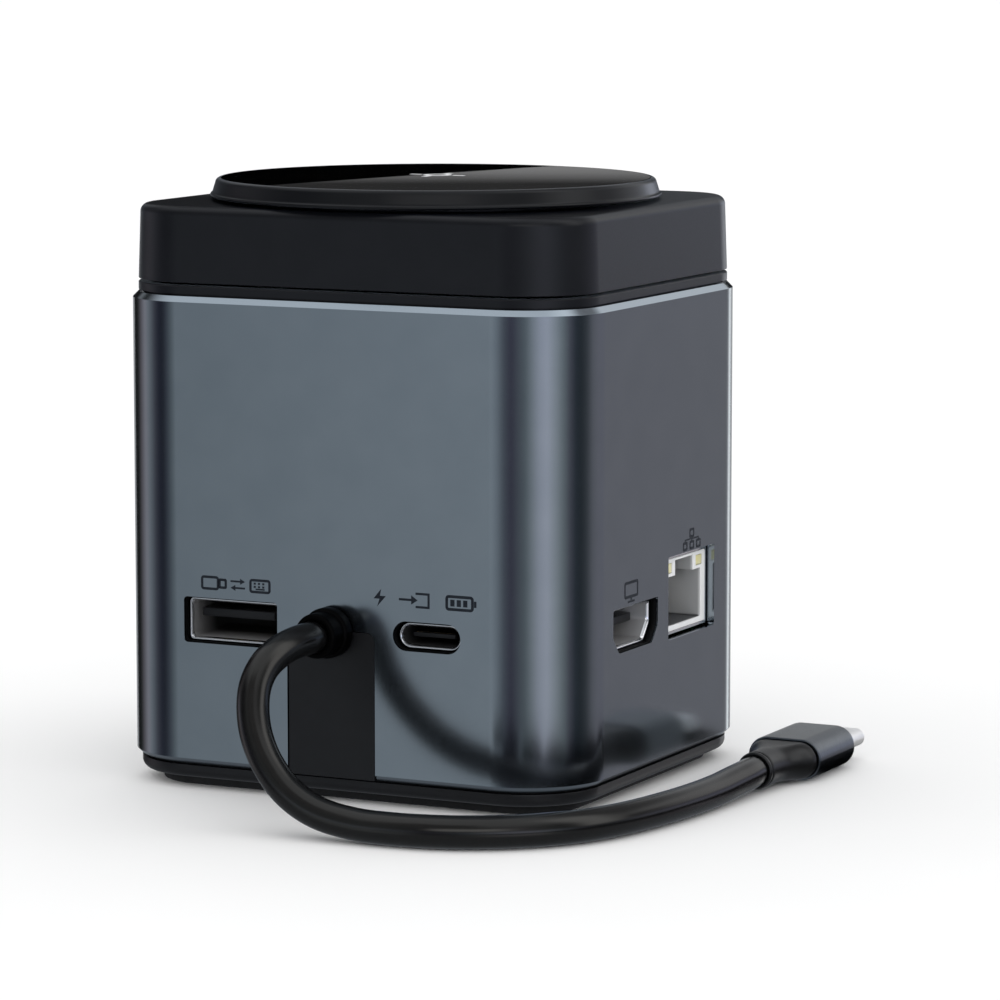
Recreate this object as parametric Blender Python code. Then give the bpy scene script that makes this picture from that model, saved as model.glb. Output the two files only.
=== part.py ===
"""Laptop docking station: an aluminium tower with side sockets, a captive
USB-C host cable and a round wireless charging pad that flips up on a hinge.

Frame: +Z up, origin at the centre of the underside of the rubber foot.
-Y is the cable side, +X the display and network side, and the pad's hinge
is at +Y, so the raised pad faces a user who sits at +Y.
"""
import math

import bmesh
import bpy
from mathutils import Matrix, Vector, geometry

MM = 0.001

# ---------------------------------------------------------------- driving sizes
BODY_WIDTH = 74.0 * MM          # X, over the aluminium sleeve
BODY_DEPTH = 66.1 * MM          # Y, over the aluminium sleeve
CORNER_RADIUS = 12.1 * MM
WALL = 1.4 * MM                 # sleeve wall
GAP = 0.3 * MM                  # clearance between neighbouring pieces
CORNER_STEPS = 7                # facets in each quarter of the plan outline
ROUND_STEPS = 48                # facets round the charging pad
SMALL_STEPS = 12                # facets round screws and their holes

FOOT_HEIGHT = 1.2 * MM
FOOT_INSET = 3.9 * MM
BASE_BOTTOM = FOOT_HEIGHT + GAP
BASE_INSET = 0.8 * MM
BASE_ROUND = 1.2 * MM
BASE_FLOOR = 3.2 * MM
BASE_TOP = 6.0 * MM
SEAM = 3.7 * MM                 # lower edge of the sleeve
SLEEVE_TOP = 71.1 * MM
CHAMFER = 0.8 * MM
PLUG_INSET = WALL + GAP + 0.05 * MM   # pieces that fit inside the sleeve

CAGE_BOTTOM = BASE_TOP + 0.4 * MM
CAGE_TOP = 67.1 * MM
CAGE_WALL = 1.5 * MM
WINDOW_BOTTOM = 16.0 * MM
WINDOW_TOP = 58.0 * MM
BOSS_X = 28.8 * MM
BOSS_Y = 24.9 * MM
BOSS_RADIUS = 3.6 * MM
BOSS_LENGTH = 9.0 * MM
SCREW_RADIUS = 1.1 * MM
SCREW_HEAD_RADIUS = 2.3 * MM
SCREW_HEAD_HEIGHT = 0.8 * MM

RING_TOP = 72.6 * MM
RING_INSET = 0.85 * MM
CAP_BOTTOM = 73.0 * MM
CAP_TOP = 83.8 * MM
CAP_FOOT_INSET = 0.87 * MM
CAP_TOP_INSET = 1.2 * MM
CAP_ROUND = 1.3 * MM
CAP_INNER_INSET = 2.5 * MM
DECK_UNDERSIDE = 82.0 * MM

# charging pad, at rest
PAD_BOTTOM = 84.3 * MM
PAD_TOP = 87.0 * MM
PAD_RADIUS = 32.85 * MM
GLASS_RADIUS = 31.1 * MM
GLASS_THICKNESS = 0.8 * MM
TUB_RADIUS = 28.1 * MM
TUB_BOTTOM = 80.8 * MM
TUB_FLOOR = 82.0 * MM
WELL_RADIUS = 28.5 * MM
WELL_FLOOR = 80.3 * MM
WELL_BOTTOM = 78.7 * MM

# pad hinge
HINGE_Y = 30.5 * MM
HINGE_Z = 82.3 * MM
BARREL_RADIUS = 1.5 * MM
PIN_RADIUS = 0.75 * MM
PIN_CLEARANCE = 0.08 * MM
PIN_HALF = 10.6 * MM
KNUCKLE_HALF = 6.9 * MM
WASHER_START = 7.15 * MM
WASHER_END = 7.6 * MM
EAR_START = 7.9 * MM
EAR_END = 10.8 * MM
NOTCH_HALF = 11.2 * MM

# sockets: centre height, mouth depth behind the outer face, positions
SOCKET_Z = 24.8 * MM
MOUTH_DEPTH = 1.2 * MM
USB_A_X = -16.2 * MM
USB_A_CUT = (15.2 * MM, 6.6 * MM)
USB_A_SHELL = (14.5 * MM, 5.9 * MM)
USB_C_X = 15.2 * MM
USB_C_CUT = (10.6 * MM, 4.2 * MM)
USB_C_SHELL = (9.4 * MM, 3.3 * MM)
HDMI_Y = -10.4 * MM
HDMI_CUT = (15.2 * MM, 6.4 * MM)
HDMI_SHELL = (14.3 * MM, 5.7 * MM)
RJ45_Y = 9.05 * MM
RJ45_Z = 27.1 * MM
RJ45_CUT = (16.4 * MM, 12.1 * MM)
RJ45_BODY = (15.8 * MM, 11.4 * MM)
BOARD_TOP = 21.2 * MM
BOARD_THICKNESS = 1.6 * MM

# captive cable
SLOT_HALF = 7.0 * MM
SLOT_CORNER = 1.3 * MM
GLAND_Z = 24.6 * MM
GLAND_HOLE = 3.2 * MM
CORD_RADIUS = 2.3 * MM
CORD_START = 38.4 * MM          # distance of the cord's first face from the axis
PLUG_X = 50.7 * MM
PLUG_START = 0.4 * MM
HOUSING_START = 11.7 * MM
HOUSING_END = 25.8 * MM
HOUSING_HEIGHT = 6.0 * MM
HOUSING_WIDTH = 11.4 * MM
TIP_END = 32.7 * MM
PLUG_Z = 3.1 * MM

# Route of the cord's centre line, from the gland to the plug.
CORD_ROUTE = [Vector(point) * MM for point in (
    (0.0, -38.4, 24.6), (0.0, -40.5, 24.6), (-0.4, -43.2, 24.4),
    (-1.1, -46.2, 23.6), (-1.8, -49.2, 21.9), (-2.0, -51.4, 19.4),
    (-1.5, -52.9, 16.2), (-0.2, -54.1, 12.8), (2.2, -55.2, 9.3),
    (5.8, -56.0, 6.0), (10.4, -56.3, 3.7), (16.1, -56.2, 2.6),
    (21.6, -56.0, 2.4), (27.0, -55.2, 2.4), (32.0, -53.4, 2.4),
    (36.7, -50.5, 2.4), (40.6, -47.0, 2.4), (43.8, -42.6, 2.4),
    (46.1, -37.4, 2.4), (47.7, -31.6, 2.4), (48.9, -25.2, 2.4),
    (49.7, -18.6, 2.4), (50.2, -12.0, 2.5), (50.5, -6.2, 2.8),
    (50.7, -2.4, 3.0), (50.7, 0.1, 3.1))]


# ---------------------------------------------------------------- materials
def material(name, colour, roughness, metallic=0.0):
    """Return the named Principled material, made on first use."""
    found = bpy.data.materials.get(name)
    if found:
        return found
    made = bpy.data.materials.new(name)
    made.use_nodes = True
    shader = made.node_tree.nodes["Principled BSDF"]
    shader.inputs["Base Color"].default_value = (*colour, 1.0)
    shader.inputs["Roughness"].default_value = roughness
    shader.inputs["Metallic"].default_value = metallic
    made.diffuse_color = (*colour, 1.0)
    return made


def anodised():
    return material("anodised_aluminium", (0.13, 0.15, 0.17), 0.35, 1.0)


def black_plastic():
    return material("black_plastic", (0.018, 0.019, 0.022), 0.45)


def grey_plastic():
    return material("grey_plastic", (0.09, 0.1, 0.11), 0.5)


def white_plastic():
    return material("white_plastic", (0.75, 0.75, 0.73), 0.4)


def rubber():
    return material("rubber", (0.012, 0.012, 0.013), 0.8)


def steel():
    return material("steel", (0.6, 0.6, 0.62), 0.3, 1.0)


def dark_steel():
    return material("dark_steel", (0.12, 0.12, 0.13), 0.4, 1.0)


def circuit_board():
    return material("circuit_board", (0.02, 0.09, 0.05), 0.5)


def copper():
    return material("copper", (0.7, 0.32, 0.16), 0.35, 1.0)


def ferrite():
    return material("ferrite", (0.06, 0.055, 0.055), 0.6)


# ---------------------------------------------------------------- mesh helpers
def finish(name, mesh_data, finish_material, sharp_angle=30.0):
    """Turn a bmesh into a named, smooth-shaded object."""
    bmesh.ops.recalc_face_normals(mesh_data, faces=mesh_data.faces)
    mesh = bpy.data.meshes.new(name)
    mesh_data.to_mesh(mesh)
    mesh_data.free()
    mesh.materials.append(finish_material)
    mesh.shade_smooth()
    mesh.set_sharp_from_angle(angle=math.radians(sharp_angle))
    made = bpy.data.objects.new(name, mesh)
    bpy.context.scene.collection.objects.link(made)
    return made


def rounded_rectangle(width, depth, radius, steps=CORNER_STEPS):
    """Points of a rounded rectangle about the origin, counter-clockwise."""
    points = []
    for corner, (sign_x, sign_y) in enumerate(((1, 1), (-1, 1), (-1, -1), (1, -1))):
        centre = Vector((sign_x * (width / 2 - radius), sign_y * (depth / 2 - radius)))
        for step in range(steps + 1):
            angle = math.pi / 2 * (corner + step / steps)
            points.append(centre + radius * Vector((math.cos(angle), math.sin(angle))))
    return points


def plan(inset, z):
    """The body's plan outline, set in from the sleeve's outer face, at height z."""
    outline = rounded_rectangle(BODY_WIDTH - 2 * inset, BODY_DEPTH - 2 * inset,
                                CORNER_RADIUS - inset)
    return [Vector((point.x, point.y, z)) for point in outline]


def circle(radius, z, steps=48):
    """Points of a circle about the Z axis."""
    angles = (2 * math.pi * step / steps for step in range(steps))
    return [Vector((radius * math.cos(angle), radius * math.sin(angle), z)) for angle in angles]


def at_depth(outline, z):
    """Lift a flat outline to height z."""
    return [Vector((point[0], point[1], z)) for point in outline]


def loft(name, loops, finish_material, closed_ring=False, sharp_angle=30.0):
    """Skin a row of equal loops. A closed ring joins the last to the first;
    otherwise both ends are capped."""
    mesh_data = bmesh.new()
    rings = [[mesh_data.verts.new(point) for point in loop] for loop in loops]
    pairs = list(zip(rings, rings[1:]))
    if closed_ring:
        pairs.append((rings[-1], rings[0]))
    for lower, upper in pairs:
        count = len(lower)
        for index in range(count):
            after = (index + 1) % count
            mesh_data.faces.new((lower[index], lower[after], upper[after], upper[index]))
    if not closed_ring:
        mesh_data.faces.new(rings[0])
        mesh_data.faces.new(rings[-1])
    return finish(name, mesh_data, finish_material, sharp_angle)


def turned(name, profile, finish_material, steps=48, closed=False):
    """Spin a profile of (radius, z) about the Z axis."""
    mesh_data = bmesh.new()
    verts = [mesh_data.verts.new((radius, 0.0, z)) for radius, z in profile]
    edges = [mesh_data.edges.new(pair) for pair in zip(verts, verts[1:])]
    if closed:
        edges.append(mesh_data.edges.new((verts[-1], verts[0])))
    bmesh.ops.spin(mesh_data, geom=verts + edges, cent=(0, 0, 0), axis=(0, 0, 1),
                   angle=2 * math.pi, steps=steps)
    bmesh.ops.remove_doubles(mesh_data, verts=mesh_data.verts, dist=1e-7)
    return finish(name, mesh_data, finish_material)


def box(name, low, high, finish_material, bevel=0.0):
    """A box between two corners, with an optional bevel on every edge."""
    mesh_data = bmesh.new()
    size = Vector(high) - Vector(low)
    middle = (Vector(high) + Vector(low)) / 2
    bmesh.ops.create_cube(mesh_data, size=1.0,
                          matrix=Matrix.Translation(middle) @ Matrix.Diagonal((*size, 1.0)))
    if bevel:
        bmesh.ops.bevel(mesh_data, geom=mesh_data.edges[:], offset=bevel, segments=2,
                        profile=0.5, affect='EDGES')
    return finish(name, mesh_data, finish_material)


def rod(name, radius, start, end, finish_material, steps=24):
    """A plain cylinder from one point to another."""
    mesh_data = bmesh.new()
    along = Vector(end) - Vector(start)
    turn = along.to_track_quat('Z', 'Y').to_matrix().to_4x4()
    middle = (Vector(start) + Vector(end)) / 2
    bmesh.ops.create_cone(mesh_data, cap_ends=True, segments=steps, radius1=radius,
                          radius2=radius, depth=along.length,
                          matrix=Matrix.Translation(middle) @ turn)
    return finish(name, mesh_data, finish_material)


def boolean(target, tool, operation):
    """Add a Boolean modifier and keep its tool out of the model."""
    modifier = target.modifiers.new(tool.name, 'BOOLEAN')
    modifier.operation = operation
    modifier.object = tool
    modifier.solver = 'EXACT'
    tool.hide_render = True
    tool.display_type = 'WIRE'


def cut(target, *tools):
    for tool in tools:
        boolean(target, tool, 'DIFFERENCE')


def join(target, *tools):
    for tool in tools:
        boolean(target, tool, 'UNION')


def corners(x, y):
    """The four mirrored positions of a point."""
    return [(x, y), (-x, y), (-x, -y), (x, -y)]


def on_face(made, face, along, height):
    """Place a piece built with +X along the face, +Y up and +Z outwards."""
    if face == "cable":
        made.matrix_world = (Matrix.Translation((along, -BODY_DEPTH / 2, height))
                             @ Matrix.Rotation(math.pi / 2, 4, 'X'))
    else:
        made.matrix_world = (Matrix.Translation((BODY_WIDTH / 2, along, height))
                             @ Matrix.Rotation(math.pi / 2, 4, 'Z')
                             @ Matrix.Rotation(math.pi / 2, 4, 'X'))
    return made


# ---------------------------------------------------------------- socket outlines
def shrunk(size, margin):
    return (size[0] - 2 * margin, size[1] - 2 * margin)


def usb_a_outline(size):
    return rounded_rectangle(*size, 0.55 * MM, 3)


def usb_c_outline(size):
    return rounded_rectangle(*size, size[1] / 2 * 0.999, 6)


def hdmi_outline(size):
    """A wide D: square shoulders above, slanted corners below."""
    half, up = size[0] / 2, size[1] / 2
    slant_x, slant_y = 2.0 * MM, 2.4 * MM
    nick = 0.35 * MM
    return [Vector(point) for point in (
        (half, up - nick), (half - nick, up), (-half + nick, up), (-half, up - nick),
        (-half, -up + slant_y), (-half + slant_x, -up), (half - slant_x, -up),
        (half, -up + slant_y))]


def rj45_outline(size):
    return rounded_rectangle(*size, 0.35 * MM, 2)


SOCKETS = (
    ("usb_a", "cable", USB_A_X, SOCKET_Z, usb_a_outline, USB_A_CUT),
    ("usb_c", "cable", USB_C_X, SOCKET_Z, usb_c_outline, USB_C_CUT),
    ("hdmi", "side", HDMI_Y, SOCKET_Z, hdmi_outline, HDMI_CUT),
    ("rj45", "side", RJ45_Y, RJ45_Z, rj45_outline, RJ45_CUT),
)


def socket_cup(name, face, along, height, outline, size, wall, length):
    """An open-mouthed metal shell, closed at the back."""
    inner = shrunk(size, wall)
    mouth, back = -MOUTH_DEPTH, -MOUTH_DEPTH - length
    loops = [at_depth(outline(size), back), at_depth(outline(size), mouth),
             at_depth(outline(inner), mouth), at_depth(outline(inner), back + 1.0 * MM)]
    return on_face(loft(name, loops, steel()), face, along, height)


# ---------------------------------------------------------------- base
def foot_pad():
    edge = 0.2 * MM
    loops = [plan(FOOT_INSET + edge, 0.0), plan(FOOT_INSET, edge),
             plan(FOOT_INSET, FOOT_HEIGHT)]
    loft("foot_pad", loops, rubber())


def base_plate():
    loops = []
    for step in range(5):
        angle = math.pi / 2 * step / 4
        loops.append(plan(BASE_INSET + BASE_ROUND * (1 - math.sin(angle)),
                          BASE_BOTTOM + BASE_ROUND * (1 - math.cos(angle))))
    loops += [plan(BASE_INSET, SEAM - GAP), plan(PLUG_INSET, SEAM - GAP),
              plan(PLUG_INSET, BASE_TOP), plan(3.2 * MM, BASE_TOP),
              plan(3.2 * MM, BASE_FLOOR)]
    plate = loft("base_plate", loops, black_plastic())
    for index, (x, y) in enumerate(corners(BOSS_X, BOSS_Y)):
        head = rod(f"base_head_cutter_{index}", SCREW_HEAD_RADIUS + GAP,
                   (x, y, 0.0), (x, y, BASE_BOTTOM + SCREW_HEAD_HEIGHT + GAP), steel(), SMALL_STEPS)
        shank = rod(f"base_shank_cutter_{index}", SCREW_RADIUS + GAP,
                    (x, y, 0.0), (x, y, BASE_TOP), steel(), SMALL_STEPS)
        cut(plate, head, shank)


def ballast_plate():
    inset = 3.6 * MM
    plate = loft("ballast_plate", [plan(inset, BASE_FLOOR + GAP), plan(inset, 5.6 * MM)], steel())
    for index, (x, y) in enumerate(corners(BOSS_X, BOSS_Y)):
        hole = rod(f"ballast_cutter_{index}", SCREW_RADIUS + GAP,
                   (x, y, 2 * MM), (x, y, 7 * MM), steel(), SMALL_STEPS)
        cut(plate, hole)


def screw(name, x, y, head_z, direction, length, head_radius=SCREW_HEAD_RADIUS,
          radius=SCREW_RADIUS, head_height=SCREW_HEAD_HEIGHT):
    """A pan-head screw whose shank points up (+1) or down (-1) from its head."""
    socket = head_radius * 0.5
    profile = [(0, head_height * 0.5), (socket, head_height * 0.5), (socket, 0),
               (head_radius * 0.85, 0), (head_radius, head_height * 0.4),
               (head_radius, head_height), (radius, head_height), (radius, length),
               (0, length)]
    made = turned(name, [(r, z * direction) for r, z in profile], dark_steel(), SMALL_STEPS)
    made.location = (x, y, head_z)


def base_screws():
    for index, (x, y) in enumerate(corners(BOSS_X, BOSS_Y), 1):
        screw(f"base_screw_{index}", x, y, BASE_BOTTOM, 1, 11.0 * MM)


# ---------------------------------------------------------------- body
def chassis_cage():
    """The moulded frame inside the sleeve: four corner posts between two rings."""
    outer, inner = PLUG_INSET, PLUG_INSET + CAGE_WALL
    loops = [plan(outer, CAGE_BOTTOM), plan(outer, CAGE_TOP),
             plan(inner, CAGE_TOP), plan(inner, CAGE_BOTTOM)]
    cage = loft("chassis_cage", loops, grey_plastic(), closed_ring=True)
    for index, (x, y) in enumerate(corners(BOSS_X, BOSS_Y)):
        for level, (low, high) in enumerate(((CAGE_BOTTOM, CAGE_BOTTOM + BOSS_LENGTH),
                                             (CAGE_TOP - BOSS_LENGTH, CAGE_TOP))):
            boss = rod(f"cage_boss_{index}_{level}", BOSS_RADIUS, (x, y, low), (x, y, high),
                       steel(), 20)
            join(cage, boss)
    for index, (x, y) in enumerate(corners(BOSS_X, BOSS_Y)):
        for level, (low, high) in enumerate(((CAGE_BOTTOM - 1 * MM, CAGE_BOTTOM + 7.5 * MM),
                                             (CAGE_TOP - 7.5 * MM, CAGE_TOP + 1 * MM))):
            hole = rod(f"cage_hole_{index}_{level}", SCREW_RADIUS + GAP, (x, y, low),
                       (x, y, high), steel(), SMALL_STEPS)
            cut(cage, hole)
    cut(cage, box("cage_window_x", (-60 * MM, -20.4 * MM, WINDOW_BOTTOM),
                  (60 * MM, 20.4 * MM, WINDOW_TOP), steel()))
    cut(cage, box("cage_window_y", (-24.6 * MM, -60 * MM, WINDOW_BOTTOM),
                  (24.6 * MM, 60 * MM, WINDOW_TOP), steel()))


def aluminium_sleeve():
    """The extruded tube with its two chamfered ends, socket cut-outs and cable slot."""
    loops = [plan(CHAMFER, SEAM), plan(0.0, SEAM + CHAMFER),
             plan(0.0, SLEEVE_TOP - CHAMFER), plan(CHAMFER, SLEEVE_TOP),
             plan(WALL, SLEEVE_TOP), plan(WALL, SEAM)]
    sleeve = loft("aluminium_sleeve", loops, anodised(), closed_ring=True)
    for name, face, along, height, outline, size in SOCKETS:
        reach = 4 * MM
        cutter = loft(f"{name}_cutter", [at_depth(outline(size), -reach),
                                         at_depth(outline(size), reach)], steel())
        cut(sleeve, on_face(cutter, face, along, height))
    face_y = BODY_DEPTH / 2
    outline = slot_outline(SLOT_HALF, 0.0, GLAND_Z + GAP)
    slot = loft("slot_cutter", [at_depth(outline, -3 * MM), at_depth(outline, 3 * MM)], steel())
    on_face(slot, "cable", 0.0, 0.0)
    hole = rod("gland_cutter", GLAND_HOLE, (0, -face_y - 3 * MM, GLAND_Z),
               (0, -face_y + 3 * MM, GLAND_Z), steel())
    cut(sleeve, slot, hole)


def slot_outline(half, bottom, top):
    """The cable slot: square below, rounded at both upper corners."""
    corner = SLOT_CORNER - (SLOT_HALF - half)
    steps = 4
    points = [Vector((-half, bottom)), Vector((half, bottom))]
    for side, first in ((1, 0.0), (-1, math.pi / 2)):
        for step in range(steps + 1):
            angle = first + math.pi / 2 * step / steps
            points.append(Vector((side * (half - corner) + corner * math.cos(angle),
                                  top - corner + corner * math.sin(angle))))
    return points


def slot_cover():
    """The black strip that closes the slot below the cable."""
    face_y = BODY_DEPTH / 2
    outline = slot_outline(SLOT_HALF - GAP, SEAM, GLAND_Z)
    strip = loft("slot_cover", [at_depth(outline, -WALL), at_depth(outline, -0.1 * MM)],
                 black_plastic())
    on_face(strip, "cable", 0.0, 0.0)
    hole = rod("cover_hole_cutter", GLAND_HOLE, (0, -face_y - 3 * MM, GLAND_Z),
               (0, -face_y + 3 * MM, GLAND_Z), steel())
    cut(strip, hole)


# ---------------------------------------------------------------- boards
def main_board():
    """The board that carries every socket, notched for the network jack."""
    inset = PLUG_INSET + CAGE_WALL + 0.5 * MM
    bottom = BOARD_TOP - BOARD_THICKNESS
    board = loft("main_board", [plan(inset, bottom), plan(inset, BOARD_TOP)], circuit_board())
    notch = box("board_notch", (18 * MM, RJ45_Y - 8.6 * MM, bottom - 2 * MM),
                (40 * MM, RJ45_Y + 8.6 * MM, BOARD_TOP + 2 * MM), steel())
    cut(board, notch)


def board_parts():
    box("hub_chip", (-9 * MM, -4 * MM, BOARD_TOP + GAP),
        (3 * MM, 8 * MM, BOARD_TOP + 1.3 * MM), black_plastic(), 0.1 * MM)
    box("thermal_pad", (-8.5 * MM, -3.5 * MM, BOARD_TOP + 1.6 * MM),
        (2.5 * MM, 7.5 * MM, BOARD_TOP + 2.6 * MM), grey_plastic())
    for index, x in enumerate((-20 * MM, -13.5 * MM), 1):
        box(f"power_inductor_{index}", (x, 14 * MM, BOARD_TOP + GAP),
            (x + 5.6 * MM, 19.6 * MM, BOARD_TOP + 4.0 * MM), ferrite(), 0.4 * MM)


def heat_spreader():
    """A finned block on the hub chip's thermal pad."""
    low = BOARD_TOP + 2.9 * MM
    block = box("heat_spreader", (-13 * MM, -8 * MM, low), (7 * MM, 12 * MM, low + 12 * MM),
                anodised())
    for index in range(5):
        x = -11 * MM + index * 3.6 * MM
        groove = box(f"fin_groove_{index}", (x, -10 * MM, low + 2.5 * MM),
                     (x + 2 * MM, 14 * MM, low + 14 * MM), steel())
        cut(block, groove)


def charger_board():
    """The pad's driver board, above the top frame's flange."""
    bottom = 69.3 * MM
    box("charger_board", (-25.5 * MM, -26 * MM, bottom), (25.5 * MM, 26 * MM, bottom + 1.2 * MM),
        circuit_board())
    box("charger_chip", (-5 * MM, -14 * MM, bottom + 1.5 * MM),
        (2 * MM, -7 * MM, bottom + 2.6 * MM), black_plastic(), 0.1 * MM)
    coil = turned("charger_inductor", [(0, 0), (4.4 * MM, 0), (5 * MM, 0.6 * MM),
                                       (5 * MM, 3.6 * MM), (4.4 * MM, 4.2 * MM), (0, 4.2 * MM)],
                  ferrite(), 24)
    coil.location = (12 * MM, 2 * MM, bottom + 1.5 * MM)


# ---------------------------------------------------------------- sockets
def usb_a_socket():
    socket_cup("usb_a_shell", "cable", USB_A_X, SOCKET_Z, usb_a_outline, USB_A_SHELL,
               0.4 * MM, 12 * MM)
    tongue = box("usb_a_tongue", (-5.9 * MM, 0.2 * MM, -11.8 * MM),
                 (5.9 * MM, 2.0 * MM, -3.0 * MM), black_plastic(), 0.15 * MM)
    on_face(tongue, "cable", USB_A_X, SOCKET_Z)


def usb_c_socket():
    socket_cup("usb_c_shell", "cable", USB_C_X, SOCKET_Z, usb_c_outline, USB_C_SHELL,
               0.35 * MM, 8.5 * MM)
    tongue = box("usb_c_tongue", (-3.3 * MM, -0.35 * MM, -8.3 * MM),
                 (3.3 * MM, 0.35 * MM, -2.4 * MM), black_plastic(), 0.1 * MM)
    on_face(tongue, "cable", USB_C_X, SOCKET_Z)


def hdmi_socket():
    socket_cup("hdmi_shell", "side", HDMI_Y, SOCKET_Z, hdmi_outline, HDMI_SHELL,
               0.4 * MM, 11 * MM)
    tongue = box("hdmi_tongue", (-5.6 * MM, -0.2 * MM, -10.8 * MM),
                 (5.6 * MM, 1.1 * MM, -2.8 * MM), black_plastic(), 0.15 * MM)
    on_face(tongue, "side", HDMI_Y, SOCKET_Z)


def rj45_socket():
    """Shielded network jack: shield, moulded insert, contact comb, two lamps."""
    mouth, length, sheet = -MOUTH_DEPTH, 14.0 * MM, 0.35 * MM
    outer, inner = RJ45_BODY, shrunk(RJ45_BODY, sheet)
    shield = loft("rj45_shield", [
        at_depth(rj45_outline(inner), mouth - length), at_depth(rj45_outline(outer), mouth - length),
        at_depth(rj45_outline(outer), mouth), at_depth(rj45_outline(inner), mouth)],
        steel(), closed_ring=True)
    on_face(shield, "side", RJ45_Y, RJ45_Z)

    insert_size = shrunk(inner, GAP)
    insert = loft("rj45_housing", [at_depth(rj45_outline(insert_size), mouth - length + 0.4 * MM),
                                   at_depth(rj45_outline(insert_size), mouth - 0.1 * MM)],
                  white_plastic())
    cavity = box("rj45_cavity", (-5.9 * MM, -4.5 * MM, mouth - 11 * MM),
                 (5.9 * MM, 2.7 * MM, 2 * MM), steel())
    latch = box("rj45_latch", (-3.1 * MM, 2.6 * MM, mouth - 11 * MM),
                (3.1 * MM, 4.9 * MM, 2 * MM), steel())
    cut(insert, cavity, latch)
    for side in (-1, 1):
        pocket = box(f"rj45_pocket_{side}", (side * 5.35 * MM - 1.35 * MM, 2.95 * MM,
                                             mouth - 3 * MM),
                     (side * 5.35 * MM + 1.35 * MM, 4.95 * MM, 2 * MM), steel())
        cut(insert, pocket)
    on_face(insert, "side", RJ45_Y, RJ45_Z)
    for child in (cavity, latch):
        on_face(child, "side", RJ45_Y, RJ45_Z)
    for side, label in ((-1, "left"), (1, "right")):
        on_face(bpy.data.objects[f"rj45_pocket_{side}"], "side", RJ45_Y, RJ45_Z)
        lamp = box(f"rj45_lamp_{label}", (side * 5.35 * MM - 1.05 * MM, 3.25 * MM,
                                          mouth - 2.7 * MM),
                   (side * 5.35 * MM + 1.05 * MM, 4.65 * MM, mouth - 0.1 * MM),
                   white_plastic(), 0.1 * MM)
        on_face(lamp, "side", RJ45_Y, RJ45_Z)
    rj45_contacts(mouth)


def rj45_contacts(mouth):
    """Eight spring wires on one carrier bar, low in the jack's cavity."""
    comb = box("rj45_contacts", (-4.6 * MM, -4.2 * MM, mouth - 10.6 * MM),
               (4.6 * MM, -3.2 * MM, mouth - 9.6 * MM), copper())
    for index in range(8):
        x = (index - 3.5) * 1.02 * MM
        wire = box(f"rj45_wire_{index}", (x - 0.22 * MM, -4.1 * MM, mouth - 9.8 * MM),
                   (x + 0.22 * MM, -3.7 * MM, mouth - 2.5 * MM), copper())
        on_face(wire, "side", RJ45_Y, RJ45_Z)
        join(comb, wire)
    on_face(comb, "side", RJ45_Y, RJ45_Z)


# ---------------------------------------------------------------- top
def top_frame():
    """The black ring between sleeve and cap, with a flange inside the sleeve."""
    flange_top, flange_inset = 69.0 * MM, 9.0 * MM
    rim_inset, edge = 2.6 * MM, 0.15 * MM
    loops = [plan(PLUG_INSET, CAGE_TOP + GAP), plan(PLUG_INSET, SLEEVE_TOP + GAP),
             plan(RING_INSET, SLEEVE_TOP + GAP), plan(RING_INSET, RING_TOP - edge),
             plan(RING_INSET + edge, RING_TOP), plan(rim_inset, RING_TOP),
             plan(rim_inset, flange_top), plan(flange_inset, flange_top),
             plan(flange_inset, CAGE_TOP + GAP)]
    frame = loft("top_frame", loops, black_plastic(), closed_ring=True)
    for index, (x, y) in enumerate(corners(BOSS_X, BOSS_Y)):
        hole = rod(f"frame_hole_{index}", SCREW_RADIUS + GAP, (x, y, 60 * MM), (x, y, 72 * MM),
                   steel(), SMALL_STEPS)
        cut(frame, hole)
    for index, (x, y) in enumerate(corners(BOSS_X, BOSS_Y), 1):
        screw(f"frame_screw_{index}", x, y, flange_top + GAP + SCREW_HEAD_HEIGHT, -1, 9.0 * MM)


def hinge_notch(name):
    """Room for the hinge barrels, open to the top and to +Y."""
    return box(name, (-NOTCH_HALF, 26.5 * MM, WELL_FLOOR + 0.1 * MM),
               (NOTCH_HALF, 36 * MM, CAP_TOP + 2 * MM), steel())


def top_cap():
    """The moulded cap: drafted walls, a rounded top edge and the pad's round opening."""
    loops = [plan(CAP_TOP_INSET + CAP_ROUND, CAP_TOP)]
    for step in range(1, 6):
        angle = math.pi / 2 * step / 5
        loops.append(plan(CAP_TOP_INSET + CAP_ROUND * (1 - math.sin(angle)),
                          CAP_TOP - CAP_ROUND * (1 - math.cos(angle))))
    loops += [plan(CAP_FOOT_INSET, CAP_BOTTOM), plan(CAP_INNER_INSET, CAP_BOTTOM),
              plan(CAP_INNER_INSET + 0.25 * MM, DECK_UNDERSIDE)]
    cap = loft("top_cap", loops, black_plastic())
    opening = rod("cap_opening", WELL_RADIUS, (0, 0, DECK_UNDERSIDE - 2 * MM),
                  (0, 0, CAP_TOP + 2 * MM), steel(), ROUND_STEPS)
    cut(cap, opening, hinge_notch("cap_notch"))


def pad_well():
    """The steel dish under the pad, which its magnets hold to."""
    radius, rim = WELL_RADIUS + 1.5 * MM, DECK_UNDERSIDE - GAP
    well = turned("pad_well", [(0, WELL_BOTTOM), (radius, WELL_BOTTOM), (radius, rim),
                               (WELL_RADIUS, rim), (WELL_RADIUS, WELL_FLOOR), (0, WELL_FLOOR)],
                  dark_steel(), ROUND_STEPS)
    cut(well, hinge_notch("well_notch"))
    for index, x in enumerate((-6 * MM, 6 * MM)):
        cut(well, rod(f"well_hole_{index}", 1.1 * MM, (x, 23 * MM, 77 * MM),
                      (x, 23 * MM, 82 * MM), steel(), SMALL_STEPS))


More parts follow.
